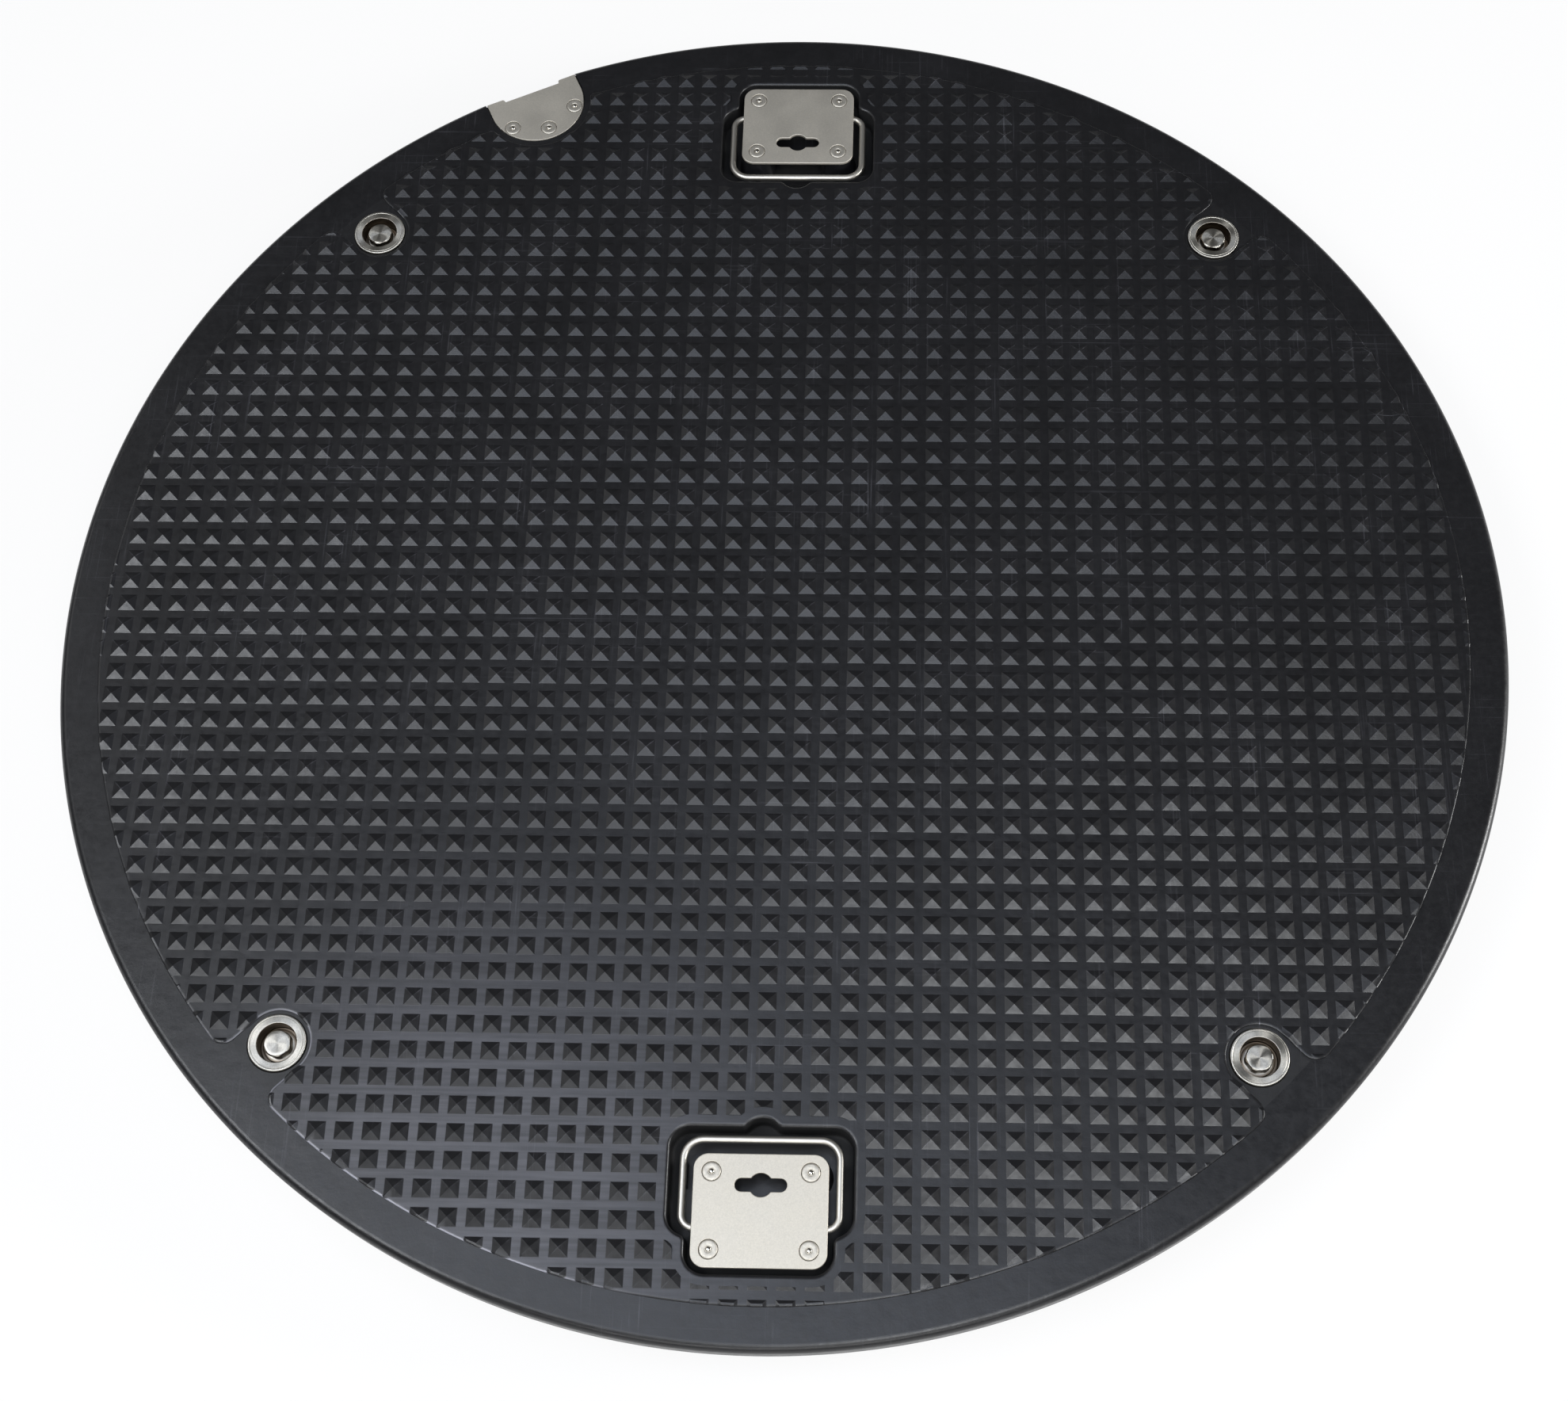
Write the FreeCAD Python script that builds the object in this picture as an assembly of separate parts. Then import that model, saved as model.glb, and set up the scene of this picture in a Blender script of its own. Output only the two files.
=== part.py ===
"""Round moulded access cover with two flush bail handles and four hold-down bolts.

Millimetres, +Z up. The origin is the centre of the underside. The front handle lies
towards -Y and the rear handle towards +Y.
"""
import FreeCAD, Part
import math
import os
from FreeCAD import Vector

# Moulded body
cover_d = 910.0
rim_h = 22.0
rim_edge_r = 5.0
rim_taper_w = 6.0
rim_taper_h = 8.0
dish_h = 36.0
dish_inset = 83.0
dish_taper_w = 20.0
dish_edge_r = 10.0

# Tread: a raised floor inside a plain band, covered with square pyramids
band_w = 24.7
floor_step = 0.8
tread_pitch = 16.0
foot_h = 0.2
pyramid_h = 2.0
flare_r = 10.0

# Hold-down bolts, on the diagonals
bolt_inset = 51.95
bolt_waist_d = 8.2
bolt_thread_d = 10.0
bolt_thread_l = 23.0
bolt_head_af = 16.0
bolt_head_h = 6.4
bolt_head_chamfer = 1.0
bolt_reach = 24.0
bolt_tip_chamfer = 1.0
bolt_hole_d = 11.0
washer_d = 20.0
washer_t = 2.0
bush_flange_d = 34.5
bush_flange_t = 3.0
bush_proud = 1.5
bush_chamfer = 1.0
bush_sleeve_d = 29.0
bush_bore_d = 23.4
bush_bore_depth = 9.5
bush_floor_t = 3.5
bush_pad_margin = 2.25

# Lift plates
plate_w = 77.0
plate_l = 64.0
plate_t = 2.0
plate_corner_r = 8.5
plate_inset = 77.6
plate_proud = 0.8
rivet_spacing_w = 56.4
rivet_spacing_l = 43.6
key_slot_l = 29.8
key_slot_w = 7.7
key_hole_d = 13.6
key_offset = 14.4

# Rivets
rivet_head_d = 10.6
rivet_head_h = 1.5
rivet_shank_d = 4.8
rivet_shank_l = 12.0
rivet_dimple_d = 3.4
rivet_dimple_depth = 1.0

# Bail handles
wire_d = 4.3
bail_w = 89.6
bail_reach = 50.3
bail_corner_r = 10.0
bail_end_r = 7.5
bail_pin_l = 11.0
pivot_offset = 9.3

# Handle pockets
pocket_gap = 5.8
pocket_front_gap = 4.3
pocket_rear_gap = 3.5
pocket_shoulder = 5.3
pocket_depth = 17.0
pocket_corner_r = 12.0
pocket_edge_r = 1.5
pocket_pad_margin = 6.5
notch_r = 11.5
pillar_foot_d = 25.0
pillar_top_d = 19.0
block_side_gap = 2.0
block_front = 7.0
block_rear = 19.0
rest_rib_w = 4.0
rest_rib_l = 14.0
rest_rib_offset = 31.0

# Pry plate on the rim
pry_angle = 115.0
pry_r = 33.0
pry_inset = 4.2
pry_straight = 12.2
pry_t = 2.0
pry_lip_w = 41.0
pry_lip_set_in = 2.6
pry_lip_h = 18.0
pry_fold_r = 1.8
pry_pad_margin = 5.0
pry_rivet_side = 23.2
pry_rivet_side_in = 25.9
pry_rivet_mid_in = 36.1

# Gasket under the rim
gasket_inset = 27.0
gasket_w = 16.0
gasket_t = 4.0
gasket_groove = 2.5

# Clearances
seat_gap = 0.2
pin_gap = 0.05
wire_gap = 0.5
rest_gap = 0.3
plate_recess_gap = 0.8

# Worked-out levels and places
cover_r = cover_d / 2
dish_top_r = cover_r - dish_inset
dish_bottom_r = dish_top_r - dish_taper_w
tread_r = cover_r - band_w
rim_z = dish_h
band_z = rim_z + rim_h
floor_z = band_z + floor_step
valley_z = floor_z + foot_h
bolt_at = (cover_r - bolt_inset) * math.sqrt(0.5)
bush_top_z = band_z + bush_proud
bush_seat_z = bush_top_z - bush_flange_t
bush_shelf_z = bush_top_z - bush_bore_depth
bush_bottom_z = bush_shelf_z - bush_floor_t
head_z = bush_shelf_z + washer_t
plate_top_z = band_z + plate_proud
plate_z = plate_top_z - plate_t
axis_z = plate_z - wire_gap - wire_d / 2
plate_centre_r = cover_r - plate_inset
pivot_r = plate_centre_r + pivot_offset
bar_r = pivot_r - bail_reach
pocket_z = band_z - pocket_depth
pry_chord = cover_r - pry_inset
gasket_mid_d = cover_d - 2 * gasket_inset
up = Vector(0, 0, 1)
far_out = cover_d


def cylinder(d, z0, z1, x=0.0, y=0.0):
    """Upright cylinder of diameter d between two levels."""
    return Part.makeCylinder(d / 2, z1 - z0, Vector(x, y, z0))


def block(x0, x1, y0, y1, z0, z1):
    """Box between two corners."""
    return Part.makeBox(x1 - x0, y1 - y0, z1 - z0, Vector(x0, y0, z0))


def upright_edges(shape):
    """Straight edges of a shape that run along Z."""
    return [e for e in shape.Edges if abs(e.tangentAt(e.FirstParameter).z) > 0.999]


def rounded_block(x0, x1, y0, y1, z0, z1, r):
    """Box with its four upright edges rounded."""
    box = block(x0, x1, y0, y1, z0, z1)
    return box.makeFillet(r, upright_edges(box))


def turned(profile):
    """Solid of revolution about Z from a closed list of edges in the XZ plane."""
    return Part.Face(Part.Wire(profile)).revolve(Vector(0, 0, 0), up, 360)


def line(a, b):
    """Straight edge between two (radius, level) points of a turned profile."""
    return Part.makeLine(Vector(a[0], 0, a[1]), Vector(b[0], 0, b[1]))


def arc(a, mid, b):
    """Circular edge through three (radius, level) points of a turned profile."""
    return Part.Arc(*[Vector(p[0], 0, p[1]) for p in (a, mid, b)]).toShape()


def at_handles(shape):
    """A front handle shape at -Y and its copy half a turn round at +Y."""
    rear = shape.copy()
    rear.rotate(Vector(0, 0, 0), up, 180)
    return [shape, rear]


def at_bolts(shape):
    """Copies of a shape, made on the Z axis, at the four bolts, turned to face outwards."""
    copies = []
    for quarter in range(4):
        copy = shape.copy()
        copy.rotate(Vector(0, 0, 0), up, 45)
        copy.translate(Vector(bolt_at, bolt_at, 0))
        copy.rotate(Vector(0, 0, 0), up, 90 * quarter)
        copies.append(copy)
    return copies


def at_pry(shape):
    """A shape made with +X pointing out through the rim, turned to the pry plate's place."""
    copy = shape.copy()
    copy.rotate(Vector(0, 0, 0), up, pry_angle)
    return copy


def rivet_places():
    """The rivets of the front lift plate."""
    half_w = rivet_spacing_w / 2
    half_l = rivet_spacing_l / 2
    return [(sx * half_w, sy * half_l - plate_centre_r) for sx in (-1, 1) for sy in (-1, 1)]


def pry_rivet_places():
    """The rivets of the pry plate before it is turned to its place."""
    side_x = pry_chord - pry_rivet_side_in
    return [(side_x, -pry_rivet_side), (pry_chord - pry_rivet_mid_in, 0.0), (side_x, pry_rivet_side)]


def blank():
    """Rim and dish as one turned form, with a rounded top edge and a tapered foot to the rim."""
    half = math.sqrt(0.5)
    edge_x = cover_r - rim_edge_r
    edge_z = band_z - rim_edge_r
    slope = math.atan2(dish_h, dish_taper_w)
    run = dish_edge_r * math.tan(slope / 2)
    start = (dish_bottom_r - run, 0.0)
    end = (dish_bottom_r + run * math.cos(slope), run * math.sin(slope))
    middle = (start[0] + dish_edge_r * math.sin(slope / 2), dish_edge_r * (1 - math.cos(slope / 2)))
    rim_corner = (edge_x + rim_edge_r * half, edge_z + rim_edge_r * half)
    foot = (cover_r - rim_taper_w, rim_z)
    wall = (cover_r, rim_z + rim_taper_h)
    profile = [
        line((0, 0), start),
        arc(start, middle, end),
        line(end, (dish_top_r, rim_z)),
        line((dish_top_r, rim_z), foot),
        line(foot, wall),
        line(wall, (cover_r, edge_z)),
        arc((cover_r, edge_z), rim_corner, (edge_x, band_z)),
        line((edge_x, band_z), (0, band_z)),
        line((0, band_z), (0, 0)),
    ]
    return turned(profile)


def pry_outline(margin, z0, z1):
    """The D of the pry plate, grown by a margin and run out past the rim."""
    centre = pry_chord - pry_straight
    round_end = cylinder(2 * (pry_r + margin), z0, z1, centre)
    sides = block(centre, far_out, -pry_r - margin, pry_r + margin, z0, z1)
    return round_end.fuse(sides)


def pocket_outline(margin, z0, z1):
    """Plan of the front pocket: wide round the bail, narrow round the plate, grown by a margin."""
    wide = bail_w / 2 + wire_d / 2 + pocket_gap + margin
    narrow = plate_w / 2 + pocket_rear_gap + margin
    front = -bar_r + wire_d / 2 + pocket_front_gap + margin
    shoulder = -pivot_r - pocket_shoulder - margin
    rear = -plate_centre_r - plate_l / 2 - pocket_rear_gap - margin
    corner = pocket_corner_r + margin
    bail_part = rounded_block(-wide, wide, shoulder, front, z0, z1, corner)
    plate_part = rounded_block(-narrow, narrow, rear, front - corner, z0, z1, corner)
    notch = cylinder(2 * (notch_r + margin), z0, z1, 0, -bar_r)
    return bail_part.fuse([plate_part, notch]).removeSplitter()


def tread_floor():
    """Raised floor inside the band, cut back to flat pads round the bolts and the pry plate."""
    z0 = band_z
    z1 = floor_z
    below = z0 - rim_h
    above = z1 + rim_h
    pad_d = bush_flange_d + 2 * bush_pad_margin
    tongue = cylinder(pad_d, below, above).fuse(block(0, bolt_at, -pad_d / 2, pad_d / 2, below, above))
    pads = at_bolts(tongue) + [at_pry(pry_outline(pry_pad_margin, below, above))]
    floor = cylinder(2 * tread_r, z0, z1).cut(pads)
    rim_corners = []
    for edge in upright_edges(floor):
        point = edge.Vertexes[0].Point
        at_seam = abs(point.y) < 1e-6
        if abs(math.hypot(point.x, point.y) - tread_r) < 1e-3 and not at_seam:
            rim_corners.append(edge)
    return floor.makeFillet(flare_r, rim_corners)


def zigzag(count, z0):
    """Slab whose top is a row of roof ridges along X, one pitch apart."""
    half = count * tread_pitch / 2
    points = [Vector(-half, -half, z0)]
    for k in range(count):
        start = -half + k * tread_pitch
        points.append(Vector(-half, start, valley_z))
        points.append(Vector(-half, start + tread_pitch / 2, valley_z + pyramid_h))
    points += [Vector(-half, half, valley_z), Vector(-half, half, z0)]
    return Part.Face(Part.makePolygon(points + points[:1])).extrude(Vector(2 * half, 0, 0))


def whole_cells(floor, reach):
    """Runs of pyramid cells, row by row, whose corners all lie on the floor."""
    top = max(floor.Faces, key=lambda f: f.CenterOfMass.z)
    half = tread_pitch / 2

    def on_floor(i, j):
        corners = [(i * tread_pitch + sx * half, j * tread_pitch + sy * half)
                   for sx in (-1, 0, 1) for sy in (-1, 0, 1)]
        return all(top.isInside(Vector(x, y, floor_z), 1e-3, True) for x, y in corners)

    runs = []
    for j in range(-reach, reach + 1):
        start = None
        for i in range(-reach, reach + 2):
            kept = i <= reach and on_floor(i, j)
            if kept and start is None:
                start = i
            if not kept and start is not None:
                runs.append((start, i - 1, j))
                start = None
    return runs


def tread(floor):
    """Field of square pyramids: two crossed ridge slabs, kept where whole cells fit the floor clear of the
    level pads round the pockets."""
    reach = int(tread_r / tread_pitch)
    z0 = floor_z - floor_step / 2
    ridges = zigzag(2 * reach + 1, z0)
    crossed = ridges.copy()
    crossed.rotate(Vector(0, 0, 0), up, 90)
    field = ridges.common(crossed)
    half = tread_pitch / 2
    strips = []
    free = floor.cut(at_handles(pocket_outline(pocket_pad_margin, band_z - rim_h, band_z + rim_h)))
    for first, last, j in whole_cells(free, reach):
        strips.append(block(first * tread_pitch - half, last * tread_pitch + half,
                            j * tread_pitch - half, j * tread_pitch + half, z0, valley_z + 2 * pyramid_h))
    area = strips[0].fuse(strips[1:]).removeSplitter()
    return field.common(area)


def pedestal():
    """What carries the front lift plate: two free pillars and a block that holds the bail's ends."""
    parts = []
    for x, y in rivet_places():
        if y > -plate_centre_r:
            parts.append(Part.makeCone(pillar_foot_d / 2, pillar_top_d / 2, plate_z - pocket_z,
                                       Vector(x, y, pocket_z)))
    half = bail_w / 2 - bail_end_r - block_side_gap
    body = rounded_block(-half, half, -pivot_r - block_rear, -pivot_r + block_front,
                         pocket_z, plate_z, block_front)
    pin_end = bail_w / 2 - bail_end_r - bail_pin_l - pin_gap
    groove_r = wire_d / 2 + pin_gap
    for side in (-1, 1):
        outer = side * (half + block_side_gap)
        x0 = min(side * pin_end, outer)
        x1 = max(side * pin_end, outer)
        round_part = Part.makeCylinder(groove_r, x1 - x0, Vector(x0, -pivot_r, axis_z), Vector(1, 0, 0))
        open_part = block(x0, x1, -pivot_r - groove_r, -pivot_r + groove_r, axis_z, plate_z)
        body = body.cut([round_part, open_part])
        rib_x = side * bail_w / 2
        rib_y = -pivot_r + rest_rib_offset
        parts.append(block(rib_x - rest_rib_w / 2, rib_x + rest_rib_w / 2, rib_y - rest_rib_l / 2,
                           rib_y + rest_rib_l / 2, pocket_z, axis_z - wire_d / 2 - rest_gap))
    return body.fuse(parts)


def cover_body():
    """The moulded cover in one piece, cut for everything that it carries."""
    floor = tread_floor()
    body = blank().fuse(floor).cut(at_handles(pocket_outline(0.0, pocket_z, band_z + rim_h)))
    pockets = at_handles(pocket_outline(pocket_edge_r, pocket_z, band_z + rim_h))
    pocket_edges = [e for e in body.Edges if e.BoundBox.ZMin > floor_z - 1e-3
                    and any(p.BoundBox.isInside(e.BoundBox) for p in pockets)]
    body = body.makeFillet(pocket_edge_r, pocket_edges)
    body = body.fuse(at_handles(pedestal()))
    for x, y in rivet_places():
        hole = cylinder(rivet_shank_d + 2 * seat_gap, plate_top_z - rivet_shank_l - seat_gap,
                        band_z + rim_h, x, y)
        body = body.cut(at_handles(hole))

    bush_room = cylinder(bush_flange_d + 2 * seat_gap, bush_seat_z, band_z + rim_h)
    sleeve_room = cylinder(bush_sleeve_d + 2 * seat_gap, bush_bottom_z, band_z + rim_h)
    bolt_room = cylinder(bolt_hole_d, 0, band_z + rim_h)
    body = body.cut(at_bolts(bush_room.fuse([sleeve_room, bolt_room])))

    half_notch = pry_r + plate_recess_gap
    half_lip = pry_lip_w / 2 + plate_recess_gap
    lip_back = pry_chord - pry_lip_set_in - pry_t
    pry_room = [
        pry_outline(plate_recess_gap, band_z - pry_t, band_z + rim_h),
        block(pry_chord, far_out, -half_notch, half_notch, rim_z - rim_h, band_z + rim_h),
        block(lip_back - seat_gap, far_out, -half_lip, half_lip, rim_z - rim_h, band_z + rim_h),
    ]
    for x, y in pry_rivet_places():
        pry_room.append(cylinder(rivet_shank_d + 2 * seat_gap, band_z - rivet_shank_l - seat_gap,
                                 band_z + rim_h, x, y))
    body = body.cut([at_pry(cut) for cut in pry_room])

    groove = cylinder(gasket_mid_d + gasket_w, rim_z - rim_h, rim_z + gasket_groove)
    groove = groove.cut(cylinder(gasket_mid_d - gasket_w, rim_z - rim_h, band_z))
    body = body.cut(groove)
    return body.fuse(tread(floor)).Solids[0]


def rim_gasket():
    """Flat rubber ring glued into the groove under the rim."""
    z0 = rim_z + gasket_groove - gasket_t
    z1 = rim_z + gasket_groove
    outer = cylinder(gasket_mid_d + gasket_w - 2 * seat_gap, z0, z1)
    return outer.cut(cylinder(gasket_mid_d - gasket_w + 2 * seat_gap, z0, z1))


def lift_plate():
    """Front lift plate with rounded corners, rivet holes and a keyhole slot for the lifting key."""
    plate = rounded_block(-plate_w / 2, plate_w / 2, -plate_centre_r - plate_l / 2,
                          -plate_centre_r + plate_l / 2, plate_z, plate_top_z, plate_corner_r)
    for x, y in rivet_places():
        plate = plate.cut(cylinder(rivet_shank_d + 2 * seat_gap, plate_z, plate_top_z, x, y))
    key_y = -plate_centre_r + key_offset
    half = (key_slot_l - key_slot_w) / 2
    slot = block(-half, half, key_y - key_slot_w / 2, key_y + key_slot_w / 2, plate_z, plate_top_z)
    ends = [cylinder(key_slot_w, plate_z, plate_top_z, x, key_y) for x in (-half, half)]
    hole = cylinder(key_hole_d, plate_z, plate_top_z, 0, key_y)
    return plate.cut(slot.fuse(ends + [hole]))


def rivet(x, y, z):
    """Blind rivet seated at level z: a domed head with a dimple, and its shank."""
    r = rivet_head_d / 2
    ball_r = (r * r + rivet_head_h * rivet_head_h) / (2 * rivet_head_h)
    cap_mid = (r / 2, math.sqrt(ball_r * ball_r - r * r / 4) - ball_r + rivet_head_h)
    dimple = rivet_dimple_d / 2
    lip = (dimple, math.sqrt(ball_r * ball_r - dimple * dimple) - ball_r + rivet_head_h)
    cup = (dimple / 2, rivet_head_h - rivet_dimple_depth)
    profile = [
        line((0, cup[1]), cup),
        line(cup, lip),
        arc(lip, cap_mid, (r, 0)),
        line((r, 0), (rivet_shank_d / 2, 0)),
        line((rivet_shank_d / 2, 0), (rivet_shank_d / 2, -rivet_shank_l)),
        line((rivet_shank_d / 2, -rivet_shank_l), (0, -rivet_shank_l)),
        line((0, -rivet_shank_l), (0, cup[1])),
    ]
    solid = turned(profile)
    solid.translate(Vector(x, y, z))
    return solid


def bail():
    """Front bail: one bent wire whose ends turn inwards into the pivot grooves."""
    leg = bail_w / 2
    tail = leg - bail_end_r
    corner = leg - bail_corner_r
    half = math.sqrt(0.5)

    def point(x, reach):
        return Vector(x, reach - pivot_r, axis_z)

    def bend(side):
        end_mid = point(side * (tail + bail_end_r * half), bail_end_r * (1 - half))
        corner_mid = point(side * (corner + bail_corner_r * half), bail_reach - bail_corner_r * (1 - half))
        return [
            Part.makeLine(point(side * (tail - bail_pin_l), 0), point(side * tail, 0)),
            Part.Arc(point(side * tail, 0), end_mid, point(side * leg, bail_end_r)).toShape(),
            Part.makeLine(point(side * leg, bail_end_r), point(side * leg, bail_reach - bail_corner_r)),
            Part.Arc(point(side * leg, bail_reach - bail_corner_r), corner_mid,
                     point(side * corner, bail_reach)).toShape(),
        ]

    bar = Part.makeLine(point(-corner, bail_reach), point(corner, bail_reach))
    path = Part.Wire(Part.__sortEdges__(bend(-1) + [bar] + bend(1)))
    start = point(-(tail - bail_pin_l), 0)
    ring = Part.Wire(Part.makeCircle(wire_d / 2, start, Vector(1, 0, 0)))
    return path.makePipeShell([ring], True, False)


def bolt_bush():
    """Flanged bush pressed into the rim, with a well for the bolt's head."""
    sleeve = bush_sleeve_d / 2
    flange = bush_flange_d / 2
    well = bush_bore_d / 2
    hole = bolt_hole_d / 2
    edge = flange - bush_chamfer
    edge_z = bush_top_z - bush_chamfer
    profile = [
        line((hole, bush_bottom_z), (sleeve, bush_bottom_z)),
        line((sleeve, bush_bottom_z), (sleeve, bush_seat_z)),
        line((sleeve, bush_seat_z), (flange, bush_seat_z)),
        line((flange, bush_seat_z), (flange, edge_z)),
        line((flange, edge_z), (edge, bush_top_z)),
        line((edge, bush_top_z), (well, bush_top_z)),
        line((well, bush_top_z), (well, bush_shelf_z)),
        line((well, bush_shelf_z), (hole, bush_shelf_z)),
        line((hole, bush_shelf_z), (hole, bush_bottom_z)),
    ]
    return turned(profile)


def bolt_washer():
    """Plain washer on the shelf of the bush."""
    return cylinder(washer_d, bush_shelf_z, head_z).cut(cylinder(bolt_hole_d, bush_shelf_z, head_z))


def bolt():
    """Hexagon bolt with a turned top, a waisted shank and a threaded end that stands out below the rim."""
    corner_r = bolt_head_af / math.sqrt(3)
    top = head_z + bolt_head_h
    turns = [math.radians(60 * k) for k in range(6)]
    points = [Vector(corner_r * math.cos(a), corner_r * math.sin(a), head_z) for a in turns]
    hexagon = Part.Face(Part.makePolygon(points + points[:1])).extrude(Vector(0, 0, bolt_head_h))
    flat_r = bolt_head_af / 2 - bolt_head_chamfer
    cone_h = bolt_head_h + flat_r
    cone = Part.makeCone(flat_r + cone_h, flat_r, cone_h, Vector(0, 0, top - cone_h))
    tip = rim_z - bolt_reach
    thread_end = tip + bolt_thread_l
    inside = head_z + bolt_head_h / 2
    waist_r = bolt_waist_d / 2
    thread_r = bolt_thread_d / 2
    shank = turned([
        line((0, tip), (thread_r - bolt_tip_chamfer, tip)),
        line((thread_r - bolt_tip_chamfer, tip), (thread_r, tip + bolt_tip_chamfer)),
        line((thread_r, tip + bolt_tip_chamfer), (thread_r, thread_end)),
        line((thread_r, thread_end), (waist_r, thread_end)),
        line((waist_r, thread_end), (waist_r, inside)),
        line((waist_r, inside), (0, inside)),
        line((0, inside), (0, tip)),
    ])
    return hexagon.common(cone).fuse(shank).removeSplitter()


def pry_plate():
    """D-shaped plate let into the rim, with a lip folded down over the edge of the cover."""
    z0 = band_z - pry_t
    plate = pry_outline(0.0, z0, band_z).cut(block(pry_chord, 2 * far_out, -far_out, far_out, z0, band_z))
    lip_face = pry_chord - pry_lip_set_in
    half_lip = pry_lip_w / 2
    plate = plate.cut(block(lip_face, far_out, -half_lip, half_lip, z0, band_z))
    lip = block(lip_face - pry_t, lip_face, -half_lip, half_lip, band_z - pry_lip_h, band_z)
    plate = plate.fuse(lip).removeSplitter()
    fold = [e for e in plate.Edges if abs(e.CenterOfMass.x - lip_face) < 1e-3
            and abs(e.CenterOfMass.z - band_z) < 1e-3]
    plate = plate.makeFillet(pry_fold_r, fold)
    for x, y in pry_rivet_places():
        plate = plate.cut(cylinder(rivet_shank_d + 2 * seat_gap, z0, band_z, x, y))
    return at_pry(plate)


def save(name, solids):
    """Write one node: a single solid or a group of separate ones."""
    shape = solids[0] if len(solids) == 1 else Part.makeCompound(solids)
    shape.exportStep("parts/%s.step" % name)


os.makedirs("parts", exist_ok=True)
save("cover_body", [cover_body()])
save("rim_gasket", [rim_gasket()])
plate_rivets = [rivet(x, y, plate_top_z) for x, y in rivet_places()]
front_and_rear = {
    "lift_plate": [at_handles(lift_plate())],
    "bail": [at_handles(bail())],
    "plate_rivets": [at_handles(solid) for solid in plate_rivets],
}
for piece, pairs in front_and_rear.items():
    save("front_" + piece, [pair[0] for pair in pairs])
    save("rear_" + piece, [pair[1] for pair in pairs])
for number, solid in enumerate(at_bolts(bolt_bush()), 1):
    save("bolt_bush_%d" % number, [solid])
save("bolt_washers", at_bolts(bolt_washer()))
save("hold_down_bolts", at_bolts(bolt()))
save("pry_plate", [pry_plate()])
save("pry_plate_rivets", [at_pry(rivet(x, y, band_z)) for x, y in pry_rivet_places()])
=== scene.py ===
"""Looks of a round moulded access cover with flush bail handles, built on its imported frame."""
import math
from contextlib import contextmanager
from functools import partial
import bmesh
import bpy
import numpy as np
from bpy.props import FloatProperty, FloatVectorProperty, PointerProperty
from mathutils import Matrix, Vector


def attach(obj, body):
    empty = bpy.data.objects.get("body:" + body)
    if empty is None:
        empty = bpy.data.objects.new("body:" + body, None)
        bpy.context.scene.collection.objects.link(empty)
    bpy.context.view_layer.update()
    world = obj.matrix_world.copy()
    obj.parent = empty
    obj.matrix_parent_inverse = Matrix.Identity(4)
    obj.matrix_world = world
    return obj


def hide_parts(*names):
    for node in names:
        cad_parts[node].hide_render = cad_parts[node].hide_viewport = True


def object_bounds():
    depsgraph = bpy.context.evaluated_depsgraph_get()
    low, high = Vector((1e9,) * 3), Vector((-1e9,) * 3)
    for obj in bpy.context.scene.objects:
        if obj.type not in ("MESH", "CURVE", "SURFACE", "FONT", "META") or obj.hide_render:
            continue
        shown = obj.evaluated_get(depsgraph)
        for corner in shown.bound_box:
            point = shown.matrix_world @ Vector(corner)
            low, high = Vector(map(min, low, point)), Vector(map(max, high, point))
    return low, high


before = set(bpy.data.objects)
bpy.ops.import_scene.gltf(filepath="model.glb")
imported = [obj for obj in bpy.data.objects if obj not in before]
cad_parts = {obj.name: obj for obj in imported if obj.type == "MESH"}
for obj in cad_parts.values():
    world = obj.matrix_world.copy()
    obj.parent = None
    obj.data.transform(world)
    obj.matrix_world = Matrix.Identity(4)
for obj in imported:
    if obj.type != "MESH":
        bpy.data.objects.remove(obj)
CAD_BOX = [list(corner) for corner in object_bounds()]

bl_info = {
    "name": "Access Cover Looks",
    "version": (1, 0, 0),
    "blender": (4, 5, 0),
    "location": "View3D > Sidebar > Access Cover",
    "description": "Builds the visible pieces of a moulded access cover on its packed frame",
    "category": "Object",
}

MM = 0.001
PHOTO_W = 1979
PHOTO_H = 1768

# Levels, in millimetres above the underside
RIM_Z = 36.0
BAND_Z = 58.0
FLOOR_Z = 59.0
PLATE_TOP_Z = 58.8
PLATE_Z = 56.8
AXIS_Z = 54.15
POCKET_Z = 41.0
BUSH_TOP_Z = 59.5
BUSH_SEAT_Z = 56.5
BUSH_SHELF_Z = 50.0
BUSH_BOTTOM_Z = 46.5
HEAD_Z = 52.0
WAIST_Z = 35.0
BOLT_TIP_Z = 12.0
GASKET_Z = (34.5, 38.5)
PAST = 6.0  # how far a tool runs on past the face that it opens

# Places and sizes in plan, in millimetres from the cover's axis
BOLT_AT = 285.0
PAD_HALF = 19.5
PLATE_R = 377.4
PIVOT_R = 386.7
BAR_R = 336.4
KEY_R = 363.0
RIVET_X = 28.2
RIVET_Y = 21.8
PRY_ANGLE = math.radians(115.0)
PRY_CHORD = 450.8
PRY_CENTRE = 438.6
PRY_HALF = 33.0
PRY_RIVETS = ((424.9, -23.2), (414.7, 0.0), (424.9, 23.2))
LIP_FACE = PRY_CHORD - 2.6
BOLT_HOLE_R = 5.5
BUSH_R = 14.5
FLANGE_R = 17.25
WELL_R = 11.7
POCKET_WIDE = (52.75, 31.03)
POCKET_NARROW = (42.0, 35.5)
POCKET_CORNER = 12.0
NOTCH_R = 11.5
KEY_HALF = (14.9, 3.85)
KEY_HOLE_R = 6.8
PLATE_CORNER = 8.5

# Middle of the painted sheen on the near left, in metres
SHEEN_AT = (-0.17, -0.37, FLOOR_Z * MM)

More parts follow.
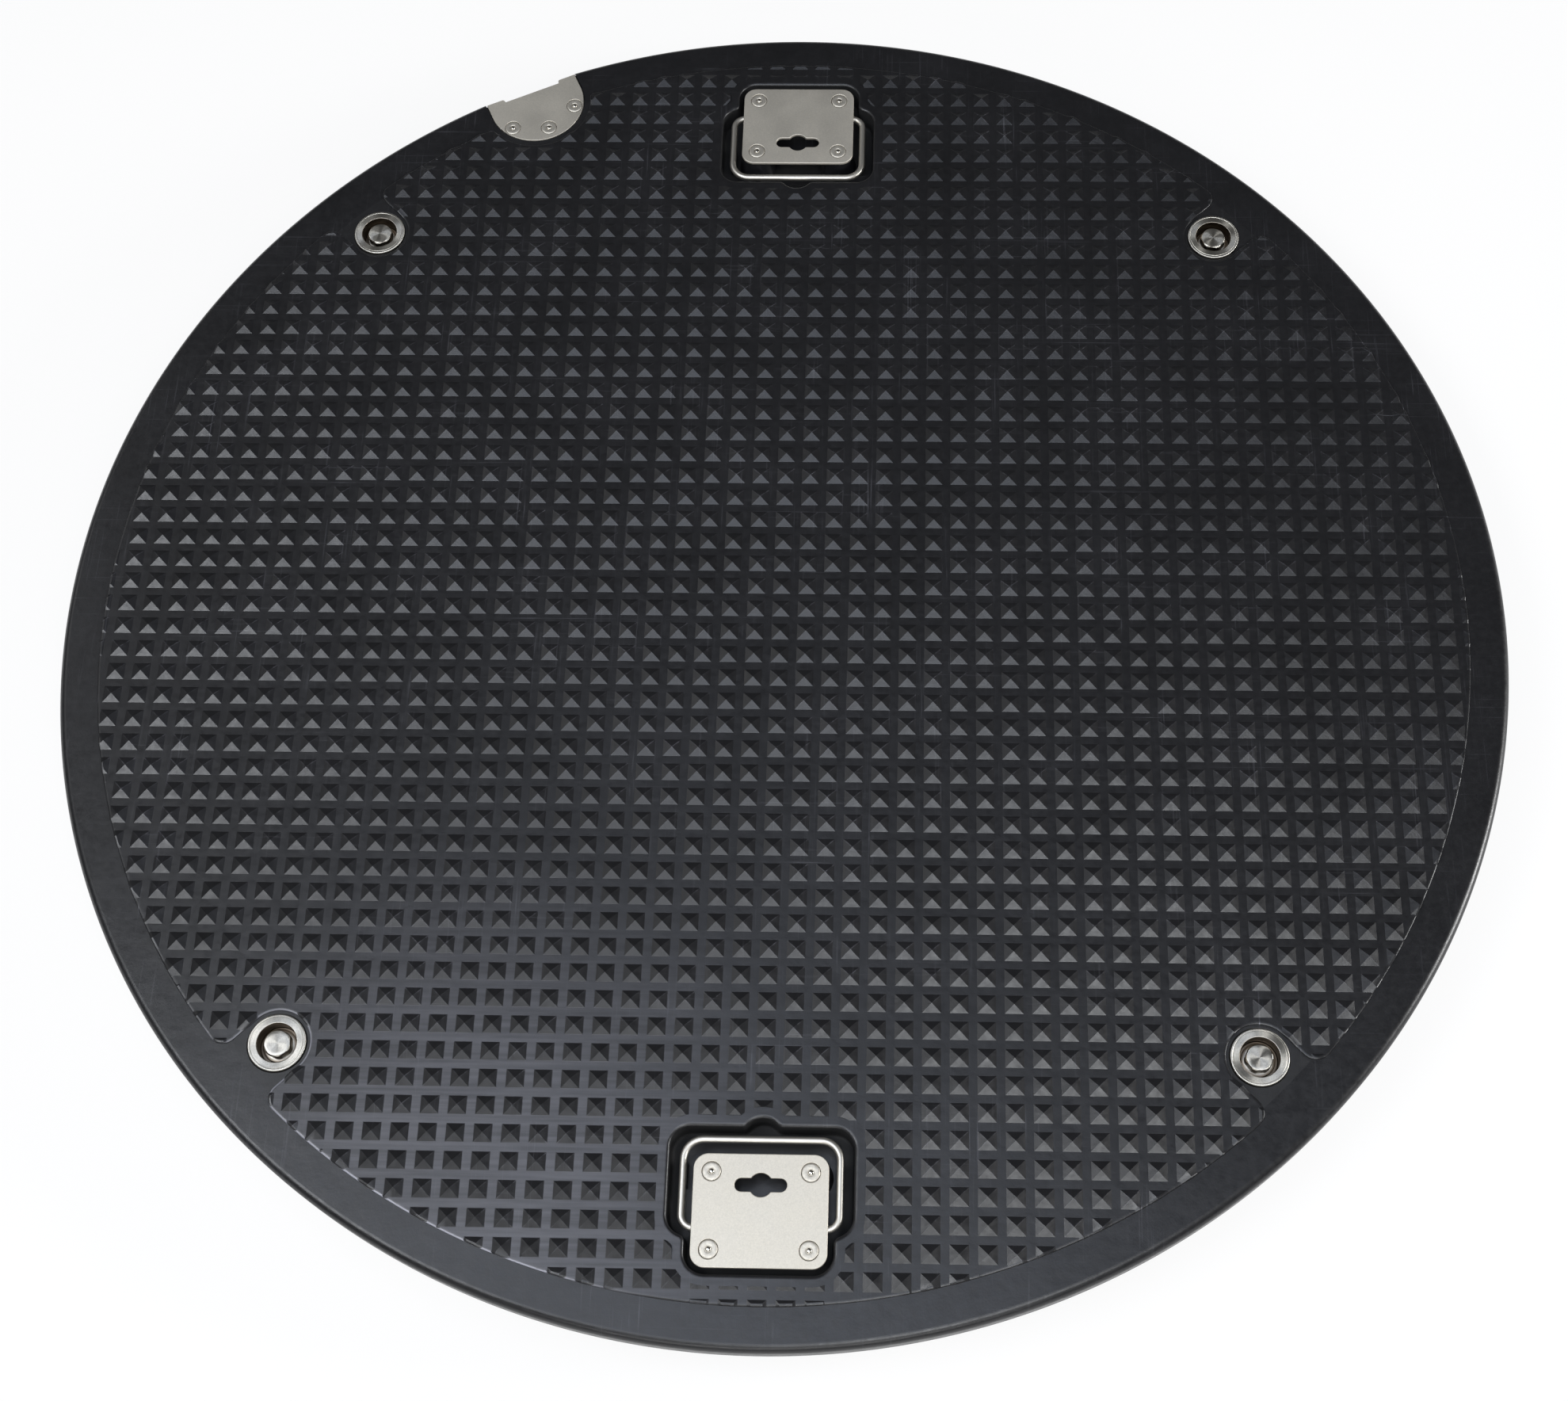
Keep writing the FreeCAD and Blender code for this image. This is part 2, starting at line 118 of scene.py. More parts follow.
SIGNS = [(sx, sy) for sx in (-1, 1) for sy in (-1, 1)]
ENDS = (("front", math.pi), ("rear", 0.0))
TURN = 20.0  # measure of one turn in the maps of turned pieces

# Lamps by name: place and size in metres, watts and tint; all face the origin
LAMPS = {
    "left": ((-1.33, -0.55, 2.2), (1.3, 0.75), 26.5, (0.95, 0.97, 1.0)),
    "near": ((0.40, -1.24, 2.2), (0.92, 0.84), 20.0, (0.96, 0.98, 1.0)),
    "overhead": ((-0.23, -0.28, 2.2), (1.45, 1.15), 11.8, (0.76, 0.84, 1.0)),
    "far left": ((-2.2, 1.3, 2.2), (0.8, 1.2), 4.5, (1.0, 1.0, 1.0)),
    "low": ((0.0, -2.6, 1.5), (2.2, 0.8), 18.0, (1.0, 1.0, 1.0)),
    "right": ((2.6, -0.1, 0.9), (0.7, 0.7), 48.0, (1.0, 1.0, 1.0)),
}


def linear(code):
    """Linear RGBA of an sRGB hex colour: each channel c becomes ((c + 0.055) / 1.055) ** 2.4."""
    channels = np.array([int(code[k:k + 2], 16) for k in (1, 3, 5)]) / 255.0
    low = channels / 12.92
    high = ((channels + 0.055) / 1.055) ** 2.4
    return (*np.where(channels <= 0.04045, low, high), 1.0)


def length(name, description, size):
    """Property for a length in metres."""
    return FloatProperty(name=name, description=description, unit="LENGTH", default=size)


def tint(name, description, code):
    """Property for a colour, given as sRGB hex."""
    return FloatVectorProperty(name=name, description=description, subtype="COLOR", size=4, default=linear(code))


class CoverSizes(bpy.types.PropertyGroup):
    """Sizes of the moulded cover."""
    diameter: length("Diameter", "Across the rim", CAD_BOX[1][0] - CAD_BOX[0][0])
    band: length("Band", "Plain band round the tread", 24.7 * MM)
    pitch: length("Tread pitch", "From one pyramid to the next", 16.0 * MM)
    base: length("Pyramid base", "Width of a pyramid at its foot", 11.0 * MM)
    height: length("Pyramid height", "Foot to apex", 2.0 * MM)
    edge: length("Step edge", "Width of the soft edge of the raised floor", 1.6 * MM)
    draft: length("Step draft", "Lean of the wall round the tread", 0.3 * MM)


class HandleSizes(bpy.types.PropertyGroup):
    """Sizes of the bails and their lift plates."""
    wire: length("Wire", "Diameter of the bail's wire", 4.3 * MM)
    width: length("Bail width", "Between the legs' centre lines", 89.6 * MM)
    plate_w: length("Plate width", "Across the lift plate", 77.0 * MM)
    plate_l: length("Plate length", "Along the lift plate", 64.0 * MM)
    rivet: length("Rivet head", "Diameter of a rivet's head", 10.6 * MM)


class FinishColours(bpy.types.PropertyGroup):
    """Colours of the finishes."""
    composite: tint("Composite", "Moulded cover", "#161618")
    plate: tint("Plate", "Stamped stainless sheet", "#d7d2c7")
    wire: tint("Wire", "Drawn stainless wire", "#d8d4cb")
    turned: tint("Turned steel", "Bushes, bolts and washers", "#c9c6be")
    rubber: tint("Rubber", "Gasket under the rim", "#141414")
    floor: tint("Floor", "Studio floor", "#f4f4f4")


# Shapes in plan: signed distances in millimetres, positive outside

def around(count):
    """Evenly spaced angles of a whole turn."""
    return np.arange(count) * (2.0 * math.pi / count)


def rays(angle):
    """Unit directions in plan."""
    return np.stack([np.cos(angle), np.sin(angle)], axis=1)


def turn(p, angle):
    """Plan points in axes turned by an angle."""
    c = math.cos(angle)
    s = math.sin(angle)
    return p @ np.array([[c, -s], [s, c]])


def box_distance(p, half, r):
    """Distance to a rectangle of half sizes half with corner radius r, centred on the origin."""
    q = np.abs(p) - np.array(half) + r
    return np.hypot(*np.maximum(q, 0.0).T) + np.minimum(q.max(axis=1), 0.0) - r


def tongue_distance(p, start, r):
    """Distance to a strip of half width r that runs out along the first axis from a round end at start."""
    along = p[:, 0] - start
    return np.where(along < 0.0, np.hypot(along, p[:, 1]), np.abs(p[:, 1])) - r


def right_of(along):
    """Unit directions to the right of directions in plan."""
    along = along / np.hypot(*along.T)[:, None]
    return np.stack([along[:, 1], -along[:, 0]], axis=1)


def union(a, b, r):
    """Union of two distances whose inner corner is filled to a radius r."""
    return np.maximum(r, np.minimum(a, b)) - np.hypot(np.maximum(r - a, 0.0), np.maximum(r - b, 0.0))


def rounded_both(a, b, r):
    """Depth inside two regions at once, with the outer corner rounded to a radius r."""
    corner = r - np.hypot(np.maximum(r - a, 0.0), np.maximum(r - b, 0.0))
    return np.where((a < r) & (b < r), corner, np.minimum(a, b))


def pocket_distance(p):
    """Handle pocket, in (x, distance from the cover's axis): a wide part, a narrow part and a notch."""
    wide = box_distance(p - (0.0, 360.97), POCKET_WIDE, POCKET_CORNER)
    narrow = box_distance(p - (0.0, PLATE_R), POCKET_NARROW, POCKET_CORNER)
    notch = np.hypot(p[:, 0], p[:, 1] - BAR_R) - NOTCH_R
    return union(union(wide, narrow, 3.0), notch, 1.5)


def key_distance(p):
    """Keyhole of the lift plate: a slot with round ends and a hole in its middle."""
    slot = box_distance(p - (0.0, KEY_R), KEY_HALF, KEY_HALF[1] - 0.01)
    return union(slot, np.hypot(p[:, 0], p[:, 1] - KEY_R) - KEY_HOLE_R, 0.3)


def floor_inside(p):
    """Depth inside the raised floor: within the band and off the pads of the bolts and the pry plate."""
    sizes = bpy.context.scene.cover_sizes
    inside = (sizes.diameter / 2 - sizes.band) / MM - np.hypot(p[:, 0], p[:, 1])
    for k in range(4):
        pad = tongue_distance(turn(p, math.pi / 4 + k * math.pi / 2), BOLT_AT * math.sqrt(2.0), PAD_HALF)
        inside = rounded_both(inside, pad, 10.0)
    return np.minimum(inside, tongue_distance(turn(p, PRY_ANGLE), PRY_CENTRE, PRY_HALF) - 5.0)


def pads_outside(p):
    """Distance outside the level pads round the two handle pockets."""
    return np.minimum(pocket_distance(p), pocket_distance(-p)) - 6.5


def tread_inside(p):
    """Depth inside the area that carries pyramids, set in by the soft edge of the floor."""
    edge = bpy.context.scene.cover_sizes.edge / MM
    return np.minimum(floor_inside(p) - edge, pads_outside(p))


def slope(distance, p):
    """Unit direction in which a distance grows, by central differences."""
    step = 0.01
    gx = distance(p + (step, 0.0)) - distance(p - (step, 0.0))
    gy = distance(p + (0.0, step)) - distance(p - (0.0, step))
    g = np.stack([gx, gy], axis=1)
    return g / np.maximum(np.hypot(gx, gy), 1e-9)[:, None]


def crossing(inside, a, b, steps=30):
    """Where the ways from points a (inside) to points b (outside) leave a region, by halving."""
    low = np.zeros(len(a))
    high = np.ones(len(a))
    for _ in range(steps):
        middle = (low + high) / 2.0
        kept = inside((a + (b - a) * middle[:, None])[:, :2]) > 0.0
        low = np.where(kept, middle, low)
        high = np.where(kept, high, middle)
    return a + (b - a) * low[:, None]


def outline(distance, centre, reach, count):
    """Closed loop where a distance is zero, found along rays from a centre point."""
    start = np.tile(centre, (count, 1))
    return crossing(lambda p: -distance(p), start, start + reach * rays(around(count)), steps=40)


# Meshes: every shape is (points, list of face arrays), in millimetres

def joined(*shapes):
    """One shape from several, with their faces renumbered."""
    points = np.concatenate([s[0] for s in shapes])
    starts = np.cumsum([0] + [len(s[0]) for s in shapes])
    return points, [f + start for s, start in zip(shapes, starts) for f in s[1]]


def moved(shape, x=0.0, y=0.0, angle=0.0):
    """A shape turned about Z and then shifted."""
    points = shape[0].copy()
    points[:, :2] = turn(points[:, :2], -angle)
    return points + (x, y, 0.0), shape[1]


def surface(rings):
    """Shape of quads between neighbouring closed rings of points."""
    rows, count = rings.shape[:2]
    index = np.arange(rows * count).reshape(rows, count)
    across = np.roll(index, -1, axis=1)
    quads = np.stack([index[:-1], across[:-1], across[1:], index[1:]], axis=-1)
    return rings.reshape(-1, 3), [quads.reshape(-1, 4)]


def swept(loop, normal, profile):
    """A profile of (outward offset, level) carried round a closed loop in plan."""
    profile = np.array(profile, float)
    rings = np.empty((len(profile), len(loop), 3))
    rings[..., :2] = loop + normal * profile[:, None, :1]
    rings[..., 2] = profile[:, 1:]
    return surface(rings)


def turned(profile, count):
    """Surface of revolution: profile points (radius, level), lowest first, carried round Z."""
    return swept(np.zeros((count, 2)), rays(around(count)), profile)


def prism(loop, z0, z1):
    """Upright prism on a closed loop in plan, with its ends as single faces."""
    points, sides = swept(loop, np.zeros_like(loop), [(0.0, z0), (0.0, z1)])
    count = len(loop)
    return points, sides + [np.arange(count)[None, ::-1], np.arange(count, 2 * count)[None]]


def arc(cx, cz, r, start, end, count):
    """Points on a circle in a profile, between two angles in degrees."""
    a = np.radians(np.linspace(start, end, count))
    return [(cx + r * math.cos(t), cz + r * math.sin(t)) for t in a]


def to_mesh(shape):
    """Mesh data in metres from a shape in millimetres."""
    data = bpy.data.meshes.new("shape")
    data.from_pydata((shape[0] * MM).tolist(), [], [face for f in shape[1] for face in f.tolist()])
    return data


@contextmanager
def edited(data):
    """The BMesh of mesh data, written back afterwards."""
    bm = bmesh.new()
    bm.from_mesh(data)
    yield bm
    bm.to_mesh(data)
    bm.free()


def fill_open_edges(data, *levels):
    """Closes the flat openings of a mesh whose edges lie at each of some levels in millimetres."""
    for level in levels:
        with edited(data) as bm:
            bmesh.ops.remove_doubles(bm, verts=bm.verts, dist=1e-6)
            edges = [e for e in bm.edges
                     if e.is_boundary and all(abs(v.co.z - level * MM) < 1e-6 for v in e.verts)]
            bmesh.ops.triangle_fill(bm, use_beauty=True, edges=edges)
            bmesh.ops.recalc_face_normals(bm, faces=bm.faces)


def close_poles(data):
    """Merges doubled points, which closes the poles and seams of turned shapes."""
    with edited(data) as bm:
        bmesh.ops.remove_doubles(bm, verts=bm.verts, dist=2e-7)
        bmesh.ops.dissolve_degenerate(bm, edges=bm.edges, dist=1e-8)
        bmesh.ops.recalc_face_normals(bm, faces=bm.faces)


def closed_mesh(shape):
    """Mesh data of a shape with its poles and seams closed."""
    data = to_mesh(shape)
    close_poles(data)
    return data


def merged(*parts):
    """One mesh from several, which are used up."""
    whole = bpy.data.meshes.new("merged")
    with edited(whole) as bm:
        for data in parts:
            bm.from_mesh(data)
            bpy.data.meshes.remove(data)
    return whole


def cut(data, cutter, operation="DIFFERENCE"):
    """Boolean of two closed meshes; both are used up and a new mesh comes back."""
    solid = bpy.data.objects.new("blank", data)
    tool = bpy.data.objects.new("tool", cutter)
    for obj in (solid, tool):
        bpy.context.scene.collection.objects.link(obj)
    step = solid.modifiers.new("cut", "BOOLEAN")
    step.operation = operation
    step.solver = "EXACT"
    step.object = tool
    bpy.context.view_layer.update()
    result = bpy.data.meshes.new_from_object(solid.evaluated_get(bpy.context.evaluated_depsgraph_get()))
    for obj in (solid, tool):
        bpy.data.objects.remove(obj)
    for used in (data, cutter):
        bpy.data.meshes.remove(used)
    return result


def shade(data, degrees, flatten=False):
    """Smooth shading with sharp edges past an angle; level faces can stay flat, so their neighbours don't bend
    them."""
    data.shade_smooth()
    data.set_sharp_from_angle(angle=math.radians(degrees))
    if flatten:
        normals = np.empty(len(data.polygons) * 3, np.float32)
        data.polygons.foreach_get("normal", normals)
        data.polygons.foreach_set("use_smooth", np.abs(normals.reshape(-1, 3)[:, 2]) < 0.99995)


def ring_map(path, count):
    """Map for rings of points carried along a path: (share of a turn, length along the path)."""
    run = np.concatenate([[0.0], np.cumsum(np.hypot(*np.diff(path, axis=0).T))])
    share = np.tile(np.linspace(0.0, 1.0, count, endpoint=False), len(path))
    return np.stack([share, np.repeat(run, count)], axis=1)


def turned_piece(profiles_at, count):
    """Turned shapes at several places as one, and their map."""
    shapes = [moved(turned(profile, count), x, y) for profile, x, y in profiles_at]
    return joined(*shapes), np.concatenate([ring_map(profile, count) for profile, x, y in profiles_at])


def with_map(name, shape, coordinates, seam=TURN, column=0):
    """Closed mesh data with a UV map from one coordinate pair per point. The column with the share of a turn is
    drawn out to the seam's measure, and faces across the seam run on past it."""
    data = to_mesh(shape)
    layer = data.uv_layers.new(name=name)
    corner = np.empty(len(data.loops), np.int32)
    data.loops.foreach_get("vertex_index", corner)
    uv = coordinates[corner].reshape(-1, 4, 2)
    uv[..., column] *= seam
    turns = uv[..., column]
    wraps = np.ptp(turns, axis=1) > seam / 2
    uv[..., column] += np.where(wraps[:, None] & (turns < seam / 2), seam, 0.0)
    layer.data.foreach_set("uv", uv.astype(np.float32).ravel())
    close_poles(data)
    return data


# Materials

def add(tree, kind, links=(), stops=(), **settings):
    """Adds a node, sets its properties, sets or links its inputs, by name or in their order, and fills its ramp
    with (position, colour or grey). Gives its first output in use."""
    node = tree.nodes.new("ShaderNode" + kind)
    for key, value in settings.items():
        setattr(node, key, value)
    if isinstance(links, dict):
        pairs = [(node.inputs[key], source) for key, source in links.items()]
    else:
        pairs = zip([socket for socket in node.inputs if socket.enabled], links)
    for socket, source in pairs:
        if isinstance(source, bpy.types.NodeSocket):
            tree.links.new(source, socket)
        else:
            socket.default_value = (*source, 1.0) if isinstance(source, np.ndarray) else source
    for position, colour in stops[2:]:
        node.color_ramp.elements.new(position)
    for element, (position, colour) in zip(node.color_ramp.elements if stops else (), stops):
        element.position = position
        element.color = (*np.broadcast_to(colour, 3), 1.0)
    return next((socket for socket in node.outputs if socket.enabled), None)


def emptied(owner):
    """Empties the nodes of a material or world and gives the function that adds one there."""
    owner.use_nodes = True
    owner.node_tree.nodes.clear()
    return partial(add, owner.node_tree)


def moulded_composite(node, base):
    """Glass-fibre sheet compound, compression moulded: charcoal and semi-gloss, with a faint flow mottle, a
    wavy skin that breaks up the reflections, and scuffs that have gone pale. The ridges are worn pale with a
    painted highlight, the soft edge of the floor has a painted highlight, the flats at the near left have a
    painted sheen, and the walls of the handle pockets have painted shade."""
    at = node("TexCoord").node.outputs["Object"]
    # flow mottle about 60 mm across, blotches about 4 mm across, where facets have been rubbed, and the skin:
    # waves about 12 mm long and a grain of 1.2 mm, drawn that coarse to show
    flow, blotch, wave, grain = [
        node("TexNoise", {"Vector": at, "Scale": 1 / (size * MM), "Detail": detail, "Roughness": fine})
        for size, detail, fine in ((60, 5.0, 0.6), (4, 4.0, 0.65), (12, 2.0, 0.5), (1.2, 2.0, 0.5))]
    colour = node("ValToRGB", [flow], [(0.25, base * 0.7), (0.5, base), (0.8, base * 1.5)])
    # scuffs along both directions of the tread and across it, drawn 1 mm wide to show, and only in patches
    worn = 0.0
    for size, angle in (((1.0, 90.0, 40.0), 0.0), ((90.0, 1.0, 40.0), 0.0), ((1.3, 50.0, 40.0), 0.6)):
        scale = [1 / (s * MM) for s in size]
        scuff = node("Mapping", {"Vector": at, "Rotation": (0.0, 0.0, angle), "Scale": scale})
        scuff = node("TexNoise", {"Vector": scuff, "Scale": 1.0, "Detail": 3.0})
        scuff = node("ValToRGB", [scuff], [(0.64, 0.0), (0.80, 1.0)])
        worn = node("Math", (worn, scuff), operation="MAXIMUM")
    patches = node("ValToRGB", [flow], [(0.44, 0.0), (0.62, 1.0)])
    for factor in (patches, 0.5):
        worn = node("Math", (worn, factor), operation="MULTIPLY")
    # ridges of the pyramids worn pale, with a painted highlight, over about 0.7 mm, in breaks; only above the
    # floor of the tread
    pitch = bpy.context.scene.cover_sizes.pitch
    scale = (1 / pitch, 1 / pitch, 1 / MM)
    cell = node("Mapping", {"Vector": at, "Location": (0.5, 0.5, 0.0), "Scale": scale})
    level = node("SeparateXYZ", [cell]).node.outputs["Z"]
    raised = node("Math", (level, FLOOR_Z + 0.03), operation="GREATER_THAN")
    cell = node("VectorMath", [cell], operation="FRACTION")
    cell = node("VectorMath", (cell, (0.5, 0.5, 0.0)), operation="SUBTRACT")
    cell = node("VectorMath", [cell], operation="ABSOLUTE")
    side = node("SeparateXYZ", [cell]).node.outputs
    off = node("Math", (side["X"], side["Y"]), operation="SUBTRACT")
    off = node("Math", [off], operation="ABSOLUTE")
    ridge = node("MapRange", (off, 0.2 * MM / pitch, 0.6 * MM / pitch, 1.0, 0.0))
    breaks = node("MapRange", (blotch, 0.45, 0.62, 0.1, 0.6))
    # painted highlight on the soft edge of the raised floor, brightest at the near left and a little in patches
    # elsewhere, but not at the pockets, whose brims have the same level
    # painted sheen: paler flats round a spot at the near left, which also places the edge's painted highlight
    sheen_pool = node("VectorMath", (at, SHEEN_AT), operation="DISTANCE")
    sheen_pool = node("MapRange", (sheen_pool, 40 * MM, 230 * MM, 1.0, 0.0), interpolation_type="SMOOTHSTEP")
    apart = node("VectorMath", [at], operation="ABSOLUTE")
    apart = node("SeparateXYZ", [apart]).node.outputs
    beside = node("MapRange", (apart["X"], 60 * MM, 120 * MM))
    edge_highlight_spots = node("Math", (sheen_pool, worn), operation="MAXIMUM")
    edge = node("Math", (level, FLOOR_Z - 0.28, 0.24), operation="COMPARE")
    # painted sheen on the flats at the near left, in streaks about 70 mm long and 3 mm wide
    streak = node("Mapping", {"Vector": at, "Scale": [1 / (s * MM) for s in (70, 3, 40)]})
    streak = node("TexNoise", {"Vector": streak, "Scale": 1.0, "Detail": 3.0})
    streak = node("MapRange", (streak, 0.35, 0.65, 0.35, 0.75))
    on_floor = node("Math", (level, FLOOR_Z, 0.1), operation="COMPARE")
    # walls of the handle pockets, and the floor outside the bails: darkened with painted shade, and rougher
    pocket_shade = 0.0
    for axis, unshaded, shaded in (("X", 41.0, 46.0), ("Y", 344.0, 337.0), ("Y", 386.0, 392.0)):
        near = node("MapRange", (apart[axis], unshaded * MM, shaded * MM))
        pocket_shade = node("Math", (pocket_shade, near), operation="MAXIMUM")
    from_axis = node("VectorMath", (at, (1.0, 1.0, 0.0)), operation="MULTIPLY")
    from_axis = node("VectorMath", [from_axis], operation="LENGTH")
    within = node("Math", (from_axis, 425 * MM), operation="LESS_THAN")
    low = POCKET_Z - 1.0
    span = 20.0
    wall = node("MapRange", (level, low, low + span))
    ends = ((40.2, 0.0), (40.8, 1.0), (56.4, 1.0), (58.6, 0.0))
    wall = node("ValToRGB", [wall], [((z - low) / span, share) for z, share in ends])
    # each layer as its tone against the base and the factors of its share; the painted shade comes last
    layers = [(11.0, worn), (11.0, ridge, raised, breaks, patches), (40.0, edge, edge_highlight_spots, beside),
              (11.0, sheen_pool, streak, on_floor), (0.35, wall, within, pocket_shade)]
    for tone, share, *factors in layers:
        for factor in factors:
            share = node("Math", (share, factor), operation="MULTIPLY")
        colour = node("Mix", (share, colour, base * tone), data_type="RGBA")
    rough = node("MapRange", (blotch, 0.3, 0.7, 0.29, 0.41))
    rough = node("Mix", (share, rough, 0.75))
    bump = node("Bump", {"Height": wave, "Strength": 0.4, "Distance": 0.5 * MM})
    bump = node("Bump", {"Height": grain, "Strength": 0.12, "Distance": 0.3 * MM, "Normal": bump})
    return {"Base Color": colour, "Roughness": rough, "Normal": bump, "IOR": 1.52}


def satin_sheet(node, base):
    """Cold rolled stainless sheet, tumbled after stamping: an even pale satin with a fine pebbled grain."""
    at = node("TexCoord").node.outputs["Object"]
    # pebbled grain about 0.8 mm, drawn that coarse to show, and handling marks about 25 mm across
    grain = node("TexNoise", {"Vector": at, "Scale": 1 / (0.8 * MM), "Detail": 2.0})
    marks = node("TexNoise", {"Vector": at, "Scale": 1 / (25 * MM), "Detail": 6.0})
    both = node("Mix", (0.35, grain, marks))
    colour = node("ValToRGB", [both], [(0.35, base * 0.88), (0.65, base)])
    rough = node("MapRange", (marks, 0.3, 0.7, 0.58, 0.64))
    bump = node("Bump", {"Height": grain, "Strength": 0.25, "Distance": 0.1 * MM})
    return {"Base Color": colour, "Roughness": rough, "Normal": bump, "Metallic": 1.0}


def rivet_steel(node, base):
    """Upset stainless rivets: satin like the sheet, with the broken end of the mandrel polished in the middle."""
    at = node("TexCoord").node.outputs["Object"]
    # press marks about 1.5 mm across
    marks = node("TexNoise", {"Vector": at, "Scale": 1 / (1.5 * MM), "Detail": 3.0})
    colour = node("ValToRGB", [marks], [(0.3, base * 0.78), (0.6, base * 0.96)])
    # the map's second number is the way from the axis along the surface, in millimetres
    run = node("UVMap", uv_map="turning")
    run = node("SeparateXYZ", [run]).node.outputs["Y"]
    rough = node("MapRange", (run, 1.7, 2.1, 0.16, 0.56))
    return {"Base Color": colour, "Roughness": rough, "Metallic": 1.0}


def drawn_wire(node, base):
    """Drawn stainless wire: bright, with faint die lines along its length."""
    # die lines: about 12 round the wire, 60 mm long
    lines = node("UVMap", uv_map="wire")
    lines = node("Mapping", {"Vector": lines, "Scale": (1 / 60.0, 12.0, 1.0)})
    lines = node("TexNoise", {"Vector": lines, "Scale": 1.0, "Detail": 2.0})
    colour = node("ValToRGB", [lines], [(0.3, base * 0.9), (0.6, base)])
    rough = node("MapRange", (lines, 0.3, 0.7, 0.42, 0.48))
    return {"Base Color": colour, "Roughness": rough, "Metallic": 1.0}


def turned_steel(node, base):
    """Turned stainless steel: tool rings round each axis stretch the highlights into fans, and the wells below
    the face are painted darker and browner, for grime and painted shade."""
    at = node("TexCoord").node.outputs["Object"]
    # tool rings 0.7 mm apart, drawn that coarse to show, broken up by a speckle of 0.8 mm
    rings = node("UVMap", uv_map="turning")
    rings = node("Mapping", {"Vector": rings, "Scale": (0.5, 1 / 0.7, 1.0)})
    rings = node("TexNoise", {"Vector": rings, "Scale": 1.0, "Detail": 3.0})
    speckle = node("TexNoise", {"Vector": at, "Scale": 1 / (0.8 * MM), "Detail": 2.0})
    both = node("Mix", (0.5, rings, speckle))
    colour = node("ValToRGB", [both], [(0.35, base * 0.72), (0.6, base)])
    # grime and painted shade round each bolt, between its head and the wall of the well, from a little below the
    # shelf up: a darker, browner colour
    span = 20.0
    corner = node("VectorMath", [at], operation="ABSOLUTE")
    middle = (-BOLT_AT / span, -BOLT_AT / span, 0.0)
    scale = (1 / (span * MM), 1 / (span * MM), 0.0)
    corner = node("Mapping", {"Vector": corner, "Location": middle, "Scale": scale})
    radius = node("VectorMath", [corner], operation="LENGTH")
    ends = ((7.8, 0.0), (9.2, 1.0), (11.76, 1.0), (12.1, 0.0))
    gap = node("ValToRGB", [radius], [(r / span, share) for r, share in ends])
    height = node("SeparateXYZ", [at]).node.outputs["Z"]
    above = node("MapRange", (height, (BUSH_SHELF_Z - 1.5) * MM, BUSH_SHELF_Z * MM))
    grime_and_shade = node("Math", (gap, above), operation="MULTIPLY")
    colour = node("Mix", (grime_and_shade, colour, linear("#7a7064")), data_type="RGBA")
    tangent = node("Tangent", direction_type="UV_MAP", uv_map="turning")
    return {"Base Color": colour, "Roughness": 0.42, "Metallic": 1.0, "Anisotropic": 0.85, "Tangent": tangent}


def sealing_rubber(node, base):
    """Extruded rubber strip: matt black with a soft bloom."""
    at = node("TexCoord").node.outputs["Object"]
    # bloom in patches about 15 mm across
    bloom = node("TexNoise", {"Vector": at, "Scale": 1 / (15 * MM), "Detail": 4.0})
    colour = node("ValToRGB", [bloom], [(0.4, base), (0.75, base * 1.9)])
    rough = node("MapRange", (bloom, 0.0, 1.0, 0.65, 0.85))
    return {"Base Color": colour, "Roughness": rough}


# For each slot of the record: the material's name, its colour and the function that wires it
FINISHES = {
    "moulded_composite": ("compression moulded glass-fibre composite", "composite", moulded_composite),
    "satin_plate": ("tumbled satin stainless sheet", "plate", satin_sheet),
    "rivet_steel": ("upset stainless rivets", "plate", rivet_steel),
    "bright_wire": ("drawn stainless wire", "wire", drawn_wire),
    "turned_steel": ("turned stainless steel", "turned", turned_steel),
    "sealing_rubber": ("extruded sealing rubber", "rubber", sealing_rubber),
}


def finish(slot):
    """The material of a slot, made once."""
    title, colour, wire = FINISHES[slot]
    if title in bpy.data.materials:
        return bpy.data.materials[title]
    material = bpy.data.materials.new(title)
    node = emptied(material)
    base = np.array(getattr(bpy.context.scene.finish_colours, colour))[:3]
    shader = node("BsdfPrincipled", wire(node, base))
    node("OutputMaterial", {"Surface": shader})
    return material


def place(name, data, slot, nodes, body="cover"):
    """Makes a piece from finished mesh data: its slot and material, its body and the nodes it stands for."""
    data.name = name
    data.materials.clear()
    data.materials.append(finish(slot))
    obj = bpy.data.objects.new(name, data)
    bpy.context.scene.collection.objects.link(obj)
    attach(obj, body)
    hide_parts(*nodes)


# The moulded cover

def cover_profile():
    """Half section of the moulding: dish, gasket groove, tapered foot, wall and rounded top edge."""
    r = bpy.context.scene.cover_sizes.diameter / MM / 2
    dish = r - 103.0
    spread = 20.0
    lean = math.atan2(RIM_Z, spread)
    bend = 10.0
    inner = r - 35.0
    outer = r - 19.0
    groove = RIM_Z + 2.5
    edge = 5.0
    points = [(0.0, 0.0)]
    points += arc(dish - bend * math.tan(lean / 2), bend, bend, -90.0, -90.0 + math.degrees(lean), 10)
    points += [(dish + spread, RIM_Z), (inner, RIM_Z), (inner, groove), (outer, groove), (outer, RIM_Z),
               (r - 6.0, RIM_Z), (r, RIM_Z + 8.0)]
    points += arc(r - edge, BAND_Z - edge, edge, 0.0, 90.0, 13)
    return points + [(0.0, BAND_Z)]


